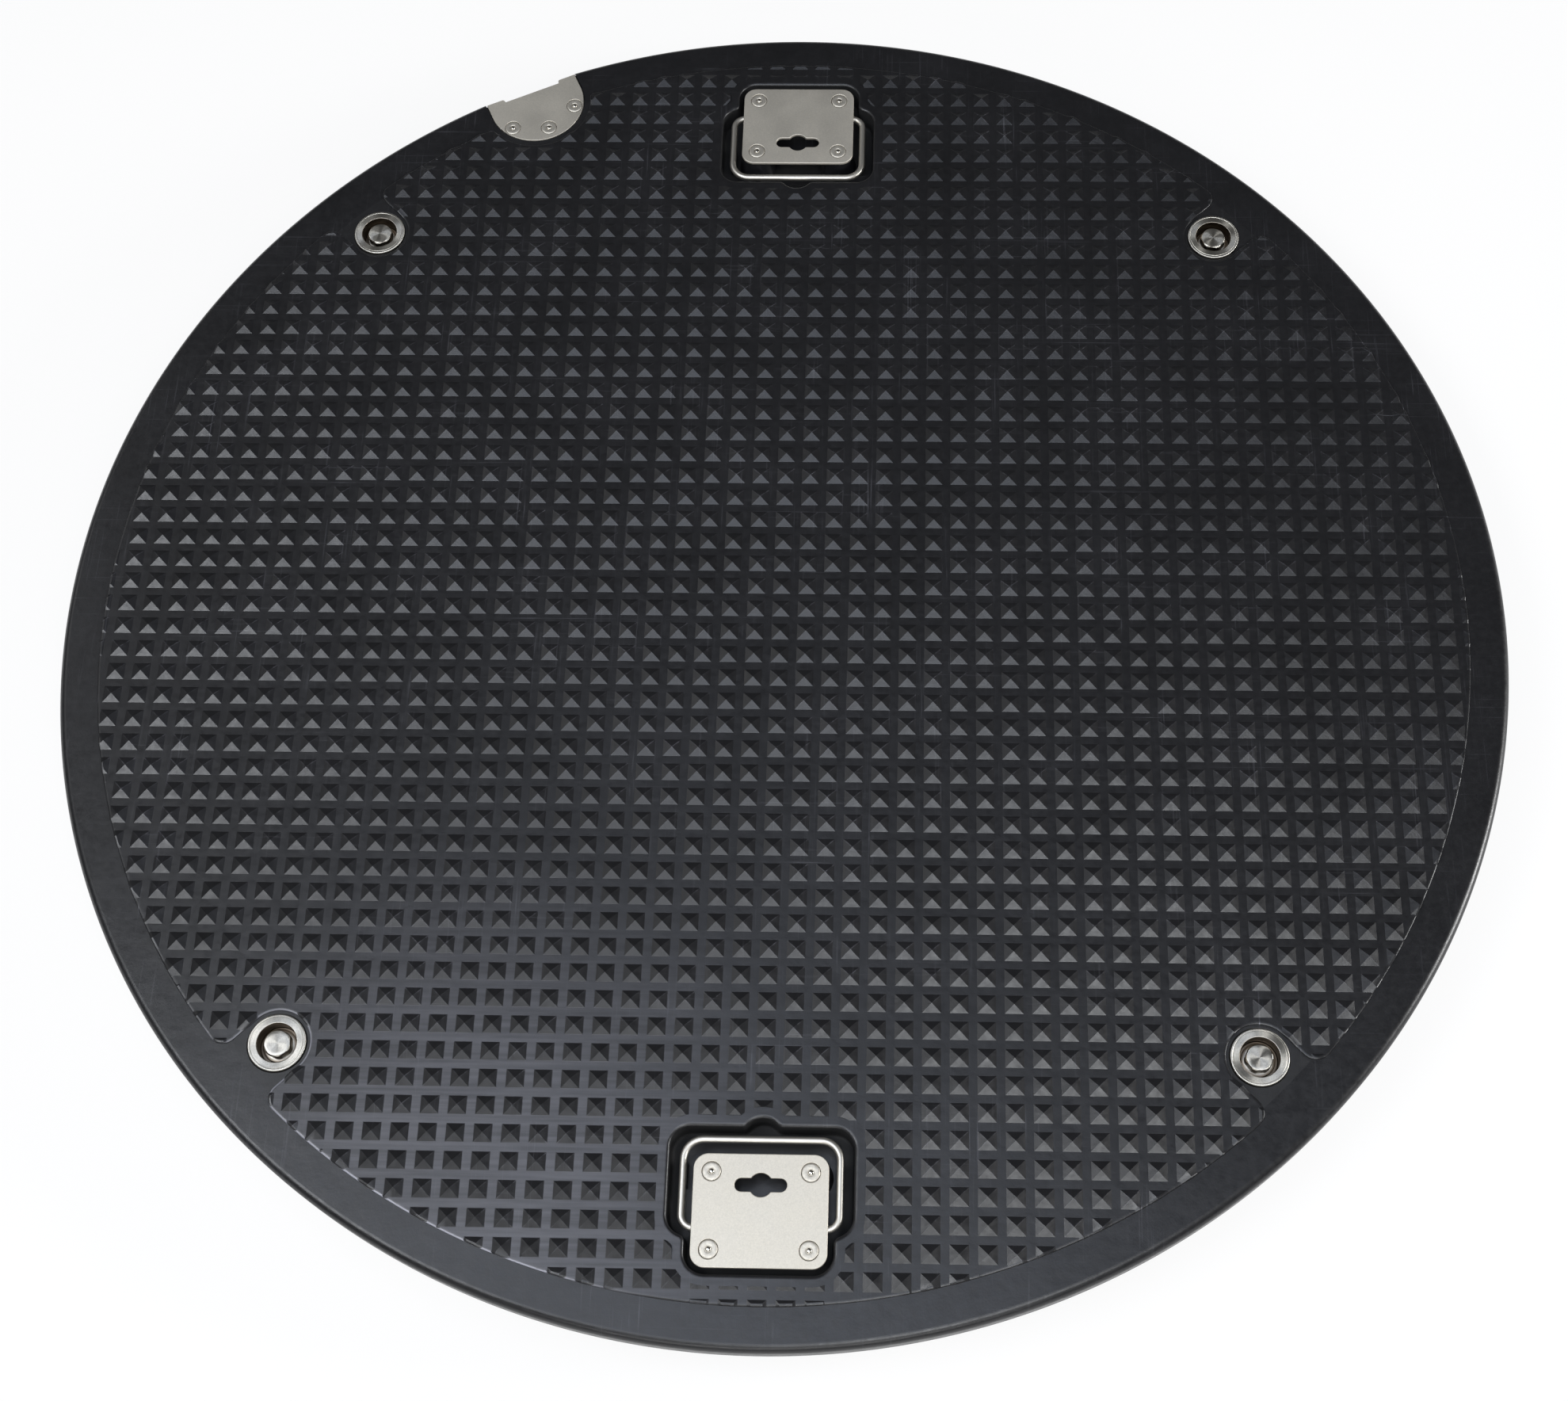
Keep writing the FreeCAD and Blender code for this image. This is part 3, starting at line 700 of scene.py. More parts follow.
def bush_tool():
    """What the bush and its bolt take out of the rim."""
    low = RIM_Z - PAST
    top = BAND_Z + PAST
    seat = BUSH_R + 0.2
    flange = FLANGE_R + 0.2
    brim = flange + 0.5
    return turned([(0.0, low), (BOLT_HOLE_R, low), (BOLT_HOLE_R, BUSH_BOTTOM_Z), (seat, BUSH_BOTTOM_Z),
                   (seat, BUSH_SEAT_Z), (flange, BUSH_SEAT_Z), (flange, BAND_Z - 0.5),
                   (flange + 0.15, BAND_Z - 0.15), (brim, BAND_Z + 0.01), (brim, top), (0.0, top)], 96)


def pry_tools():
    """The recess of the pry plate, and the notch and lip channel below it, turned to their place."""
    far = 480.0
    half = PRY_HALF + 0.8
    lip = 21.3
    bed = LIP_FACE - 2.2
    curve = half * rays(np.radians(np.linspace(90.0, 270.0, 65))) + (PRY_CENTRE, 0.0)
    d_loop = np.concatenate([curve, [(far, -half), (far, half)]])
    notch = np.array([(far, -half), (far, half), (PRY_CHORD, half), (PRY_CHORD, lip), (bed, lip), (bed, -lip),
                      (PRY_CHORD, -lip), (PRY_CHORD, -half)])
    return (moved(prism(d_loop, BAND_Z - 2.0, BAND_Z + PAST), angle=PRY_ANGLE),
            moved(prism(notch, RIM_Z - 20.0, BAND_Z + PAST - 1.0), angle=PRY_ANGLE))


def cover_shell():
    """The moulding without its tread: a turned blank less the bush seats and the pry recess."""
    data = closed_mesh(turned(cover_profile(), 480))
    bushes = joined(*[moved(bush_tool(), sx * BOLT_AT, sy * BOLT_AT) for sx, sy in SIGNS])
    for tool in (bushes, *pry_tools()):
        data = cut(data, closed_mesh(tool))
    return data


def pedestals():
    """What carries the lift plates: two pillars, a block with a groove for each end of the bail, and ribs."""
    low = POCKET_Z - 1.0
    at = np.array([0.0, PIVOT_R + 6.0])

    def block_plan(p):
        return box_distance(p - at, (35.3, 13.0), 7.0)

    data = closed_mesh(prism(outline(block_plan, at, 60.0, 96), low, PLATE_Z))
    groove_r = 2.2
    top = PLATE_Z + 3.0
    bed = arc(PIVOT_R, AXIS_Z, groove_r, 180.0, 360.0, 15)
    section = np.array(bed + [(PIVOT_R + groove_r, top), (PIVOT_R - groove_r, top)])
    grooves = []
    for x0, x1 in ((-45.0, -26.25), (26.25, 45.0)):
        points, faces = prism(section, x0, x1)
        grooves.append((points[:, [2, 0, 1]], faces))
    data = cut(data, closed_mesh(joined(*grooves)))
    rest = []
    for sx in (-1, 1):
        pillar = [(0.0, low), (12.5, low), (12.5, POCKET_Z), (9.5, PLATE_Z), (0.0, PLATE_Z)]
        rest.append(moved(turned(pillar, 48), sx * RIVET_X, PLATE_R - RIVET_Y))
        rib = np.array([(-2.0, -7.0), (2.0, -7.0), (2.0, 7.0), (-2.0, 7.0)]) + (sx * 44.8, PIVOT_R - 31.0)
        rest.append(prism(rib, low, AXIS_Z - 2.45))
    one = merged(data, closed_mesh(joined(*rest)))
    other = one.copy()
    other.transform(Matrix.Rotation(math.pi, 4, "Z"))
    return merged(one, other)


def pocket_tool():
    """What the handle pockets take out: the outline carried up from a rounded floor to a rounded brim, less
    the pedestals that stay standing in it."""
    loop = outline(pocket_distance, np.array([0.0, 365.0]), 90.0, 360)
    profile = [(-2.5, POCKET_Z)] + arc(-2.0, POCKET_Z + 2.0, 2.0, -75.0, 0.0, 5)
    brim_w = 2.4
    brim_h = 1.5
    profile += [(brim_w * (1.0 - math.cos(t)), FLOOR_Z - brim_h * (1.0 - math.sin(t)))
                for t in np.radians((0, 9, 18, 28, 40, 52, 64, 75, 86))]
    profile += [(profile[-1][0], FLOOR_Z + PAST)]
    wall = swept(loop, slope(pocket_distance, loop), profile)
    data = to_mesh(joined(wall, moved(wall, angle=math.pi)))
    fill_open_edges(data, POCKET_Z, FLOOR_Z + PAST)
    return cut(data, pedestals())


def tread_grid():
    """Pyramids and the flats between them as one triangle sheet over the whole square, on grid lines through
    both feet and the apex of every pyramid.

    With u and v the offsets from the nearest pyramid's centre and b half its base, the level is
    floor + height * max(0, 1 - max(|u|, |v|) / b). Each square is split from its apex side.
    """
    sizes = bpy.context.scene.cover_sizes
    pitch = sizes.pitch / MM
    half = sizes.base / MM / 2
    reach = math.ceil(sizes.diameter / sizes.pitch / 2)
    lines = (np.arange(-reach, reach + 1)[:, None] * pitch + np.array([-half, 0.0, half])).ravel()
    count = len(lines)
    x, y = np.meshgrid(lines, lines, indexing="ij")
    u = np.abs(x - np.round(x / pitch) * pitch)
    v = np.abs(y - np.round(y / pitch) * pitch)
    rise = np.maximum(0.0, 1.0 - np.maximum(u, v) / half)
    points = np.stack([x, y, FLOOR_Z + sizes.height / MM * rise], axis=-1).reshape(-1, 3)
    i, j = np.meshgrid(np.arange(count - 1), np.arange(count - 1), indexing="ij")
    a = (i * count + j).ravel()
    b = a + count
    c = b + 1
    d = a + 1
    rising = ((i % 3 + j % 3) % 2 == 0).ravel()[:, None]
    first = np.where(rising, np.stack([a, b, c], axis=1), np.stack([a, b, d], axis=1))
    second = np.where(rising, np.stack([a, c, d], axis=1), np.stack([b, c, d], axis=1))
    return points, np.concatenate([first, second])


def edge_points(inside, start, end, corners, steps):
    """Points on a region's edge between two crossings of a triangle, kept in the triangle's plane."""
    share = np.linspace(0.0, 1.0, steps + 1)[None, 1:-1, None]
    p = (start[:, None] * (1 - share) + end[:, None] * share).reshape(-1, 3)
    for _ in range(3):
        p[:, :2] -= inside(p[:, :2])[:, None] * slope(inside, p[:, :2])
    a, b, c = [np.repeat(q, steps - 1, axis=0) for q in corners]
    n = np.cross(b - a, c - a)
    p[:, 2] = a[:, 2] - ((p[:, :2] - a[:, :2]) * n[:, :2]).sum(axis=1) / n[:, 2]
    return np.concatenate([start[:, None], p.reshape(len(start), steps - 1, 3), end[:, None]], axis=1)


def trimmed(points, triangles, inside, steps=3):
    """A triangle sheet cut along a region's edge: the kept faces, and runs of edge points with the region
    on their left."""
    kept = inside(points[:, :2])[triangles] > 0.0
    count = kept.sum(axis=1)
    used, index = np.unique(triangles[count == 3], return_inverse=True)
    shapes = [(points[used], [index.reshape(-1, 3)])]
    runs = []
    for lone_inside in (True, False):
        chosen = count == (1 if lone_inside else 2)
        lone = np.argmax(kept[chosen] == lone_inside, axis=1)
        order = (lone[:, None] + np.arange(3)) % 3
        a, b, c = np.moveaxis(points[np.take_along_axis(triangles[chosen], order, axis=1)], 1, 0)
        ends = ((a, b), (a, c)) if lone_inside else ((c, a), (b, a))
        start, end = [crossing(inside, *pair) for pair in ends]
        run = edge_points(inside, start, end, (a, b, c), steps)
        inner = [a[:, None]] if lone_inside else [b[:, None], c[:, None]]
        ring = np.concatenate([*inner, run], axis=1)
        size = ring.shape[1]
        shapes.append((ring.reshape(-1, 3), [np.arange(len(ring) * size).reshape(-1, size)]))
        runs.append(run)
    return joined(*shapes), np.concatenate(runs)


def skirt(runs, profile):
    """Wall hung from runs of edge points: one row of quads between neighbours of (outward offset, drop) in a
    profile, whose last entry gives a level instead of a drop."""
    plan = runs[..., :2]
    outward = -slope(tread_inside, plan.reshape(-1, 2)).reshape(plan.shape)
    levels = [runs[..., 2:] - drop for offset, drop in profile[:-1]]
    levels.append(np.full_like(runs[..., 2:], profile[-1][1]))
    points = np.stack([np.concatenate([plan + outward * offset, level], axis=2)
                       for (offset, drop), level in zip(profile, levels)], axis=1)
    index = np.arange(points[..., 0].size).reshape(points.shape[:3])
    quads = np.stack([index[:, :-1, :-1], index[:, 1:, :-1], index[:, 1:, 1:], index[:, :-1, 1:]], axis=-1)
    return points.reshape(-1, 3), [quads.reshape(-1, 4)]


def tread():
    """The raised floor with its pyramids as one solid, sunk a little into the band: pyramids are cut upright
    round the pads, and along the rounded edge of the floor."""
    sizes = bpy.context.scene.cover_sizes
    sheet, runs = trimmed(*tread_grid(), tread_inside)
    at_pad = pads_outside(runs[:, 1, :2]) < 0.01
    edge = sizes.edge / MM
    brim = [(edge * math.sin(t), edge * (1.0 - math.cos(t)) / 3)
            for t in np.radians((0, 20, 38, 52, 64, 73, 80, 86, 90))]
    low = BAND_Z - 1.0
    outer = skirt(runs[~at_pad], brim + [(edge + sizes.draft / MM, low)])
    inner = skirt(runs[at_pad], [(0.0, 0.0), (0.0, FLOOR_Z)])
    data = to_mesh(joined(sheet, outer, inner))
    with edited(data) as bm:
        bmesh.ops.remove_doubles(bm, verts=bm.verts, dist=2e-6)
        bmesh.ops.dissolve_degenerate(bm, edges=bm.edges, dist=1e-7)
    fill_open_edges(data, FLOOR_Z, low)
    return data


class COVER_OT_moulding(bpy.types.Operator):
    """Build the moulded cover with its tread, pockets and seats"""
    bl_idname = "access_cover.moulding"
    bl_label = "Moulded cover"

    def execute(self, context):
        whole = cut(cover_shell(), tread(), "UNION")
        whole = cut(whole, pocket_tool())
        shade(whole, 16.0, flatten=True)
        place("moulded_cover", whole, "moulded_composite", ["cover_body"])
        return {"FINISHED"}


# Handles

def edged_sheet(loops, z0, z1, edge):
    """Flat sheet bounded by loops of (points, normals out of the metal): each edge is a small bevel below and
    a quarter round above."""
    profile = [(-edge / 2, z0), (0.0, z0 + edge / 2)]
    profile += [(x - edge, z1 - edge + z) for x, z in arc(0.0, 0.0, edge, 0.0, 90.0, 5)]
    data = to_mesh(joined(*[swept(loop, normal, profile) for loop, normal in loops]))
    fill_open_edges(data, z0, z1)
    return data


def rivet_hole(x, y):
    """Loop round a rivet's head, a hair larger than it, with normals towards its axis."""
    r = bpy.context.scene.handle_sizes.rivet / MM / 2 + 0.25
    ray = rays(around(48))
    return np.array([x, y]) + r * ray, -ray


def lift_plate(angle):
    """Stamped plate over the pivot block, with its keyhole."""
    sizes = bpy.context.scene.handle_sizes
    half = (sizes.plate_w / MM / 2, sizes.plate_l / MM / 2)

    def rim(p):
        return box_distance(p - (0.0, PLATE_R), half, PLATE_CORNER)

    outer = outline(rim, np.array([0.0, PLATE_R]), 70.0, 240)
    key = outline(key_distance, np.array([0.0, KEY_R]), 25.0, 160)
    holes = [rivet_hole(sx * RIVET_X, PLATE_R + sy * RIVET_Y) for sx, sy in SIGNS]
    data = edged_sheet([(outer, slope(rim, outer)), (key, -slope(key_distance, key)), *holes],
                       PLATE_Z, PLATE_TOP_Z, 0.45)
    data.transform(Matrix.Rotation(angle, 4, "Z"))
    return data


def rivet_head():
    """Blind rivet let into its sheet, from the axis outwards: the stub of the mandrel, a groove round it, a
    nearly level face, a rolled edge and a plug down to the seat."""
    r = bpy.context.scene.handle_sizes.rivet / MM / 2
    stub = [(x, 0.5 * z - 0.05) for x, z in arc(0.0, 0.0, 1.55, 90.0, 12.0, 9)]
    return np.array(stub + [(1.65, -0.1), (1.85, -0.1), (2.05, 0.12), (2.4, 0.2), (r - 1.0, 0.2), (r - 0.4, 0.12),
                            (r, -0.2), (r, -1.95), (0.0, -1.95)])


class COVER_OT_lift_plates(bpy.types.Operator):
    """Build the two stamped lift plates"""
    bl_idname = "access_cover.lift_plates"
    bl_label = "Lift plates"

    def execute(self, context):
        for name, angle in ENDS:
            data = lift_plate(angle)
            shade(data, 35.0, flatten=True)
            place(name + "_plate", data, "satin_plate", [name + "_lift_plate"])
        return {"FINISHED"}


class COVER_OT_rivets(bpy.types.Operator):
    """Build the rivets of the lift plates and of the pry plate"""
    bl_idname = "access_cover.rivets"
    bl_label = "Rivets"

    def execute(self, context):
        sets = {name + "_plate_rivets": [(sx * RIVET_X, sy * RIVET_Y + side * PLATE_R, PLATE_TOP_Z)
                                         for sx, sy in SIGNS] for name, side in (("front", -1), ("rear", 1))}
        sets["pry_plate_rivets"] = [(x, y, BAND_Z) for x, y in turn(np.array(PRY_RIVETS), -PRY_ANGLE)]
        for node, places in sets.items():
            heads = [(rivet_head() + (0.0, z), x, y) for x, y, z in places]
            data = with_map("turning", *turned_piece(heads, 40))
            shade(data, 40.0)
            place(node.replace("_plate", ""), data, "rivet_steel", [node])
        return {"FINISHED"}


def bail_path():
    """Centre line of a bail in plan and its sideways normal: pin, bend, leg, corner, bar and back."""
    leg = bpy.context.scene.handle_sizes.width / MM / 2
    pin_bend = 7.5
    tail = leg - pin_bend
    bend = 11.5
    corner = leg - bend
    reach = PIVOT_R - BAR_R
    side = [(tail - 11.0, 0.0), (tail - 10.5, 0.0), (tail - 5.5, 0.0)]
    side += arc(tail, pin_bend, pin_bend, -90.0, 0.0, 15)
    side += [(leg, y) for y in np.linspace(pin_bend, reach - bend, 6)[1:-1]]
    side = np.array(side + arc(corner, reach - bend, bend, 0.0, 90.0, 17))
    bar = np.stack([np.linspace(corner, -corner, 9)[1:-1], np.full(7, reach)], axis=1)
    path = np.concatenate([side, bar, side[::-1] * (-1.0, 1.0)])
    return path, right_of(np.gradient(path, axis=0))


def bail_wire():
    """Round wire carried along the bail's centre line: circles across the line, drawn in to a point over a
    small bevel at each end. The map is (length along the wire in millimetres, share of a turn round it)."""
    r = bpy.context.scene.handle_sizes.wire / MM / 2
    path, normal = bail_path()
    rows = np.concatenate([[0], np.arange(len(path)), [len(path) - 1]])
    path = path[rows]
    share = np.ones(len(rows))
    share[[0, -1]] = 0.0
    share[[1, -2]] = 0.75
    count = 28
    angle = around(count)
    across = path[:, None] + normal[rows][:, None] * (r * share[:, None] * np.cos(angle))[..., None]
    rings = np.empty((len(rows), count, 3))
    rings[..., 0] = across[..., 0]
    rings[..., 1] = PIVOT_R - across[..., 1]
    rings[..., 2] = AXIS_Z + r * share[:, None] * np.sin(angle)
    return surface(rings), ring_map(path, count)[:, ::-1]


class COVER_OT_bails(bpy.types.Operator):
    """Build the two folding wire bails"""
    bl_idname = "access_cover.bails"
    bl_label = "Bails"

    def execute(self, context):
        for name, angle in ENDS:
            shape, coordinates = bail_wire()
            data = with_map("wire", moved(shape, angle=angle), coordinates, seam=1.0, column=1)
            shade(data, 40.0)
            place(name + "_bail_wire", data, "bright_wire", [name + "_bail"], body=name + "_bail")
        return {"FINISHED"}


# Hold-down bolts

def bush_profile():
    """Section of a flanged bush: rounded brim, a shallow ring on its face, a well and a bolt hole."""
    top = BUSH_TOP_Z
    hole = BOLT_HOLE_R
    brim = 0.9
    lip = 0.45
    points = [(hole, BUSH_BOTTOM_Z), (BUSH_R, BUSH_BOTTOM_Z), (BUSH_R, BUSH_SEAT_Z), (FLANGE_R, BUSH_SEAT_Z)]
    points += arc(FLANGE_R - brim, top - brim, brim, 0.0, 90.0, 7)
    points += [(15.9, top - 0.02), (15.7, top - 0.16), (15.5, top - 0.16), (15.3, top - 0.02)]
    points += [(WELL_R + 0.7, top)] + arc(WELL_R + lip, top - lip, lip, 90.0, 180.0, 6)
    return points + [(WELL_R, BUSH_SHELF_Z + 0.4), (WELL_R - 0.4, BUSH_SHELF_Z), (hole, BUSH_SHELF_Z),
                     (hole, BUSH_BOTTOM_Z)]


def washer_profile():
    """Section of a plain washer with softened edges."""
    z0 = BUSH_SHELF_Z
    z1 = HEAD_Z
    hole = BOLT_HOLE_R
    return [(hole, z0), (9.8, z0), (10.0, z0 + 0.3), (10.0, z1 - 0.4), (9.85, z1 - 0.1), (9.6, z1), (5.8, z1),
            (hole, z1 - 0.3), (hole, z0)]


def bolt_surface():
    """Hexagon bolt with a waisted shank. At angle t and level z the thread's radius is 5 less up to 0.92 over
    each 1.5 mm of z - 1.5 t / 2 pi; the head's radius is a / cos(t - nearest flat), with its corners turned
    off, and its top falls by tan 30 degrees outside the chamfer circle."""
    count = 72
    lead = 1.5
    waist = 4.1
    flat_r = 7.75
    corner_r = 8.3
    t = around(count)
    z = np.linspace(BOLT_TIP_Z, WAIST_Z, 124)[:, None]
    phase = (z / lead - t / (2.0 * math.pi)) % 1.0
    depth = np.clip(1.25 * np.abs(2.0 * phase - 1.0) - 0.125, 0.0, 1.0)
    thread = np.minimum(5.0 - 0.92 * depth, waist + z - BOLT_TIP_Z)
    flat = (t + math.pi / 6) % (math.pi / 3) - math.pi / 6
    reach = np.minimum(flat_r / np.cos(flat), corner_r)
    face_r = 7.2
    top = HEAD_Z + 6.4
    drop = (reach - face_r) * math.tan(math.radians(30.0))
    rows = [(0.0, BOLT_TIP_Z), *zip(thread, z), (waist, WAIST_Z + 0.3), (waist, HEAD_Z), (reach - 0.3, HEAD_Z),
            (reach, HEAD_Z + 0.3), (reach, top - drop - 0.25), (reach - 0.2, top - drop),
            (face_r + 0.25, top - 0.1), (face_r - 0.15, top), (5.2, top), (2.6, top), (0.0, top)]
    rows = [np.broadcast_arrays(r, level, t)[:2] for r, level in rows]
    rings = np.array([np.stack([r * np.cos(t), r * np.sin(t), level], axis=1) for r, level in rows])
    return surface(rings), ring_map([(r.mean(), level.mean()) for r, level in rows], count)


class COVER_OT_bolts(bpy.types.Operator):
    """Build the bushes, washers and hold-down bolts"""
    bl_idname = "access_cover.bolts"
    bl_label = "Hold-down bolts"

    def execute(self, context):
        corners = [(BOLT_AT, BOLT_AT), (-BOLT_AT, BOLT_AT), (-BOLT_AT, -BOLT_AT), (BOLT_AT, -BOLT_AT)]
        pieces = [("flanged_bush_%d" % k, "bolt_bush_%d" % k, turned_piece([(bush_profile(), x, y)], 96))
                  for k, (x, y) in enumerate(corners, 1)]
        washers = turned_piece([(washer_profile(), x, y) for x, y in corners], 72)
        pieces.append(("plain_washers", "bolt_washers", washers))
        shape, coordinates = bolt_surface()
        spins = (0.35, 0.9, 0.1, 0.62)
        four = joined(*[moved(shape, x, y, spin) for (x, y), spin in zip(corners, spins)])
        pieces.append(("hexagon_bolts", "hold_down_bolts", (four, np.tile(coordinates, (4, 1)))))
        for name, node, mapped in pieces:
            data = with_map("turning", *mapped)
            shade(data, 28.0)
            place(name, data, "turned_steel", [node])
        return {"FINISHED"}


# Pry plate and gasket

def pry_outline():
    """D of the pry plate with its chord set back in the middle, where the lip folds down."""
    curve = PRY_HALF * rays(np.radians(np.linspace(90.0, 270.0, 97))) + (PRY_CENTRE, 0.0)
    chord = [(PRY_CHORD, PRY_HALF), (PRY_CHORD, 21.4), (PRY_CHORD - 0.6, 20.5), (LIP_FACE, 20.0)]
    return np.concatenate([curve, np.array(chord) * (1.0, -1.0), chord[::-1]])


def pry_lip():
    """Folded lip: a strip section that turns down over the edge, carried across the middle of the chord."""
    face = LIP_FACE
    low = BAND_Z - 18.0
    section = [(face - 2.0, low), (face, low)] + arc(face - 1.8, BAND_Z - 1.8, 1.8, 0.0, 90.0, 9)
    section += [(face - 2.6, BAND_Z), (face - 2.6, BAND_Z - 2.0), (face - 2.0, BAND_Z - 2.2)]
    points, faces = prism(np.array(section), -20.5, 20.5)
    return points[:, [0, 2, 1]], [f[:, ::-1] for f in faces]


class COVER_OT_pry_plate(bpy.types.Operator):
    """Build the pry plate let into the rim"""
    bl_idname = "access_cover.pry_plate"
    bl_label = "Pry plate"

    def execute(self, context):
        loop = pry_outline()
        # the loop runs anticlockwise, so the right of each point's neighbours is out of the metal
        normal = right_of(np.roll(loop, -1, axis=0) - np.roll(loop, 1, axis=0))
        holes = [rivet_hole(*spot) for spot in PRY_RIVETS]
        sheet = edged_sheet([(loop, normal), *holes], BAND_Z - 2.0, BAND_Z, 0.35)
        whole = cut(sheet, closed_mesh(pry_lip()), "UNION")
        whole.transform(Matrix.Rotation(PRY_ANGLE, 4, "Z"))
        shade(whole, 35.0, flatten=True)
        place("pry_tongue", whole, "satin_plate", ["pry_plate"])
        return {"FINISHED"}


class COVER_OT_gasket(bpy.types.Operator):
    """Build the gasket under the rim"""
    bl_idname = "access_cover.gasket"
    bl_label = "Rim gasket"

    def execute(self, context):
        middle = context.scene.cover_sizes.diameter / MM / 2 - 27.0
        low, high = GASKET_Z
        half = 7.8
        inner = middle - half
        outer = middle + half
        r = 0.8
        section = [(inner, high), (inner, low + r)] + arc(inner + r, low + r, r, 180.0, 270.0, 4)
        section += arc(outer - r, low + r, r, 270.0, 360.0, 4) + [(outer, high), (inner, high)]
        data = closed_mesh(turned(section, 240))
        shade(data, 40.0, flatten=True)
        place("gasket_ring", data, "sealing_rubber", ["rim_gasket"])
        return {"FINISHED"}


# Stage

def views(node):
    """1 for rays from the eye, and 1 for rays from gloss and through glass, which meet the background too."""
    path = node("LightPath").node.outputs
    reflected = node("Math", (path["Is Glossy Ray"], path["Is Transmission Ray"]), operation="MAXIMUM")
    return path["Is Camera Ray"], reflected


def studio_floor():
    """Painted studio floor: pale and matt, with the object's shadow faint on it; the eye and reflections see
    it as white."""
    material = bpy.data.materials.new("painted studio floor")
    node = emptied(material)
    matt = node("BsdfDiffuse", {"Color": tuple(bpy.context.scene.finish_colours.floor)})
    glow = node("Emission", {"Color": (1.0, 1.0, 1.0, 1.0), "Strength": 1.0})
    share = node("Math", views(node), operation="MAXIMUM")
    share = node("Math", (share, 0.85), operation="MULTIPLY")
    mixed = node("MixShader", (share, matt, glow))
    node("OutputMaterial", {"Surface": mixed})
    return material


def studio_world():
    """Dim room behind a white background, which gloss sees near the horizon, where it stands."""
    world = bpy.data.worlds.new("studio")
    node = emptied(world)
    height = node("TexCoord").node.outputs["Generated"]
    height = node("SeparateXYZ", [height]).node.outputs["Z"]
    low = node("MapRange", (height, 0.03, 0.12, 1.0, 0.0))
    direct, reflected = views(node)
    share = node("Math", (reflected, low), operation="MULTIPLY")
    share = node("Math", (direct, share), operation="MAXIMUM")
    dim, white = [node("Background", {"Color": (1.0, 1.0, 1.0, 1.0), "Strength": s}) for s in (0.08, 1.0)]
    mixed = node("MixShader", (share, dim, white))
    node("OutputWorld", {"Surface": mixed})
    return world


def panel(name, at, size, watts, colour):
    """Soft rectangular lamp at a point in metres, facing the origin."""
    lamp = bpy.data.lights.new(name, "AREA")
    lamp.shape = "RECTANGLE"
    lamp.size, lamp.size_y = size
    lamp.energy = watts
    lamp.color = colour
    obj = bpy.data.objects.new(name, lamp)
    obj.location = at
    obj.rotation_euler = (-Vector(at)).to_track_quat("-Z", "Y").to_euler()
    bpy.context.scene.collection.objects.link(obj)


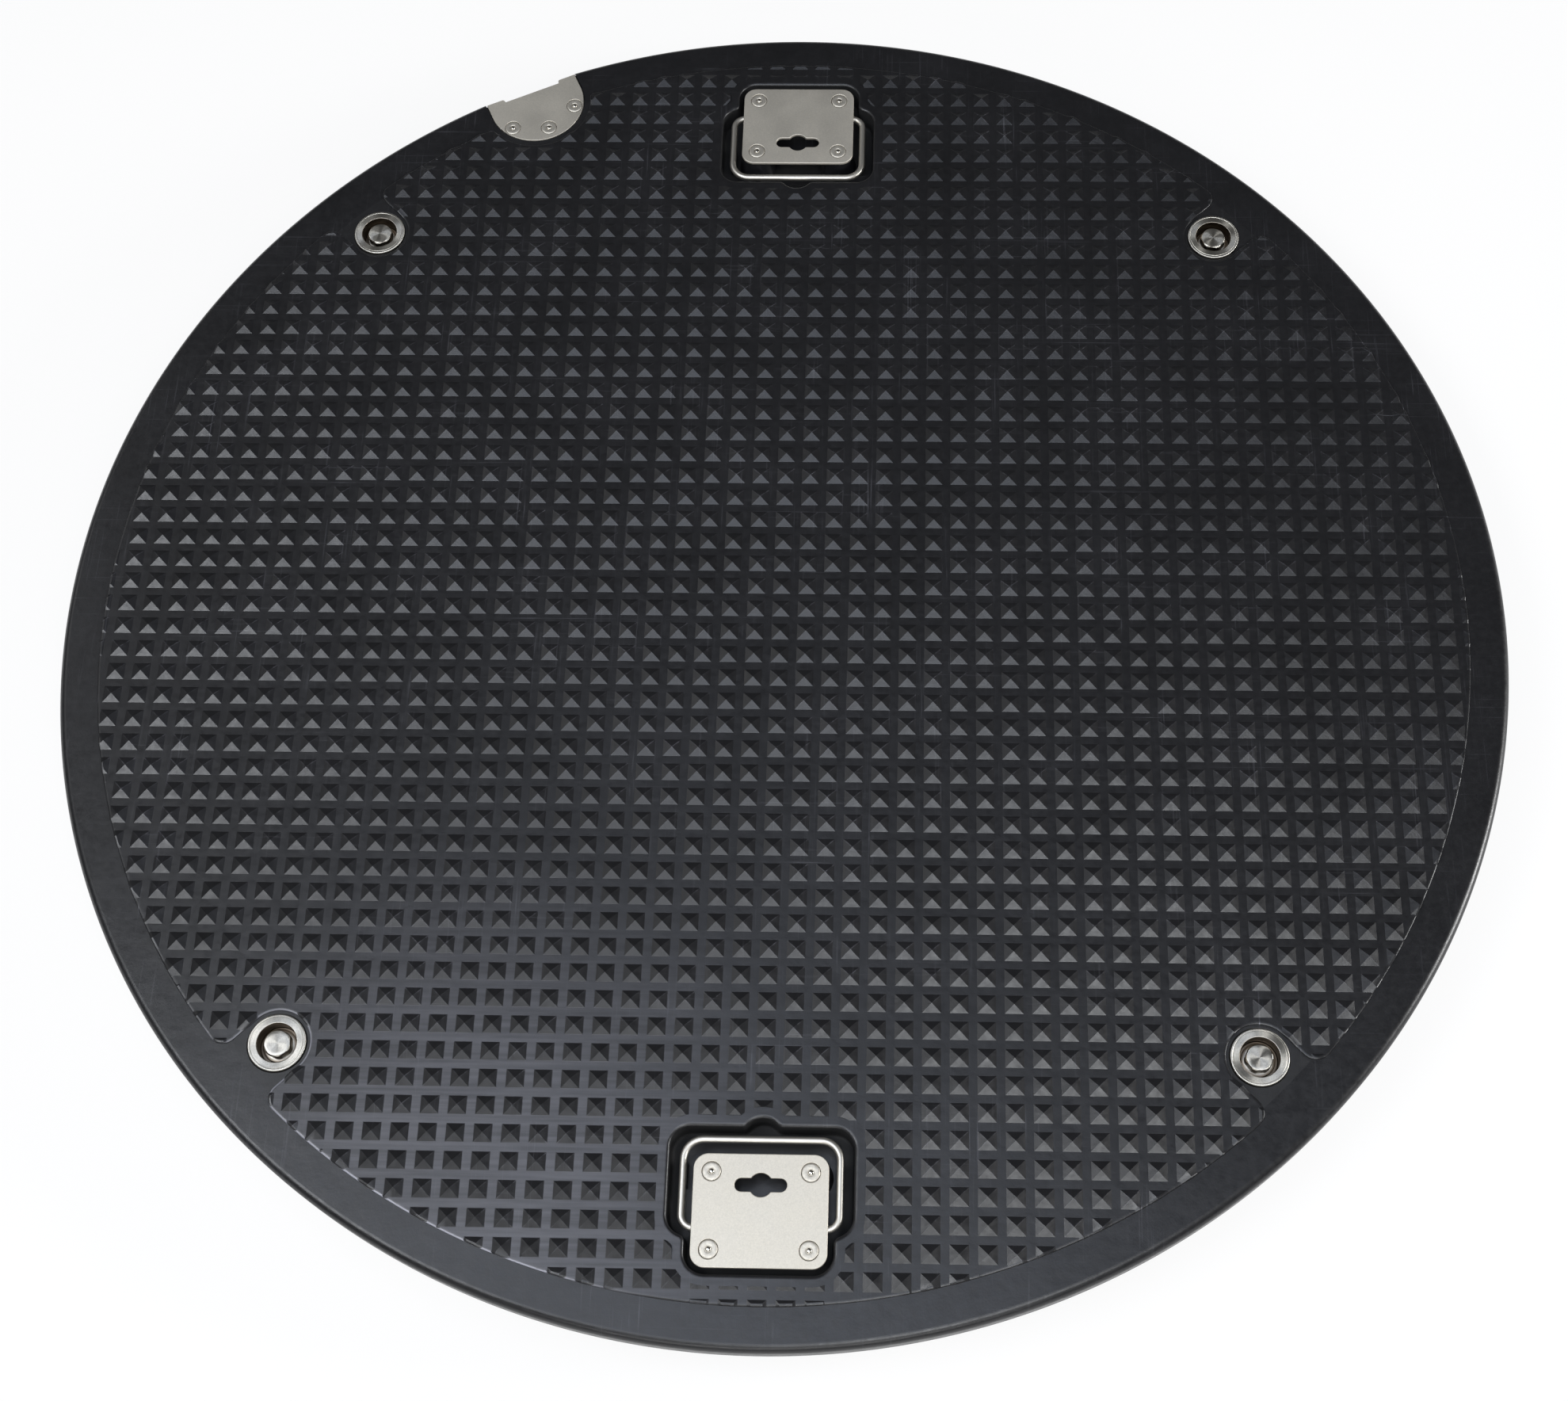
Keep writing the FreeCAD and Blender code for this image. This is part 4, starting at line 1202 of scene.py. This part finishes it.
def photo_camera():
    """Camera of the photograph: its place, its axes and its lens, in the cover's frame."""
    focal = 2698.0  # in pixels of the photograph, as is the middle of the lens
    middle = (1067.0, 935.0)
    lens = bpy.data.cameras.new("photo camera")
    lens.sensor_fit = "HORIZONTAL"
    lens.sensor_width = 36.0
    lens.lens = lens.sensor_width * focal / PHOTO_W
    lens.shift_x = (PHOTO_W / 2 - middle[0]) / PHOTO_W
    lens.shift_y = (middle[1] - PHOTO_H / 2) / PHOTO_W
    lens.clip_end = 50.0
    obj = bpy.data.objects.new("photo camera", lens)
    back = -Vector((-0.025, 0.391, -0.920)).normalized()
    right = Vector((0.9996, 0.0199, -0.0184))
    right = (right - back * right.dot(back)).normalized()
    axes = Matrix((right, back.cross(right), back)).transposed()
    obj.matrix_world = Matrix.Translation((0.0752, -0.6034, 1.2666)) @ axes.to_4x4()
    bpy.context.scene.collection.objects.link(obj)
    bpy.context.scene.camera = obj


class COVER_OT_stage(bpy.types.Operator):
    """Set the floor, the lamps, the world and the camera"""
    bl_idname = "access_cover.stage"
    bl_label = "Stage"

    def execute(self, context):
        scene = context.scene
        data = closed_mesh(turned([(0.0, -0.5), (6000.0, -0.5)], 64))
        data.flip_normals()
        data.materials.append(studio_floor())
        floor = bpy.data.objects.new("studio floor", data)
        scene.collection.objects.link(floor)
        photo_camera()
        for name, lamp in LAMPS.items():
            panel(name, *lamp)
        scene.world = studio_world()
        scene.view_settings.view_transform = "Standard"
        return {"FINISHED"}


GROUPS = {"cover_sizes": CoverSizes, "handle_sizes": HandleSizes, "finish_colours": FinishColours}
OPERATORS = (COVER_OT_moulding, COVER_OT_lift_plates, COVER_OT_rivets, COVER_OT_bails, COVER_OT_bolts,
             COVER_OT_pry_plate, COVER_OT_gasket, COVER_OT_stage)


class COVER_PT_sidebar(bpy.types.Panel):
    """Lists the pieces of the access cover and their sizes"""
    bl_label = "Access Cover"
    bl_idname = "COVER_PT_sidebar"
    bl_space_type = "VIEW_3D"
    bl_region_type = "UI"
    bl_category = "Access Cover"

    def draw(self, context):
        for name, group in GROUPS.items():
            box = self.layout.box()
            for key in group.__annotations__:
                box.prop(getattr(context.scene, name), key)
        for operator in OPERATORS:
            self.layout.operator(operator.bl_idname)


CLASSES = (*GROUPS.values(), *OPERATORS, COVER_PT_sidebar)


def register():
    """Registers the classes and hangs the sizes and colours on the scene."""
    for cls in CLASSES:
        bpy.utils.register_class(cls)
    for name, group in GROUPS.items():
        setattr(bpy.types.Scene, name, PointerProperty(type=group))


def unregister():
    """Takes everything off again."""
    for name in GROUPS:
        delattr(bpy.types.Scene, name)
    for cls in reversed(CLASSES):
        bpy.utils.unregister_class(cls)


def main():
    """Builds every piece and the stage."""
    register()
    for name in ("moulding", "lift_plates", "rivets", "bails", "bolts", "pry_plate", "gasket", "stage"):
        getattr(bpy.ops.access_cover, name)()


if __name__ == "__main__":
    main()
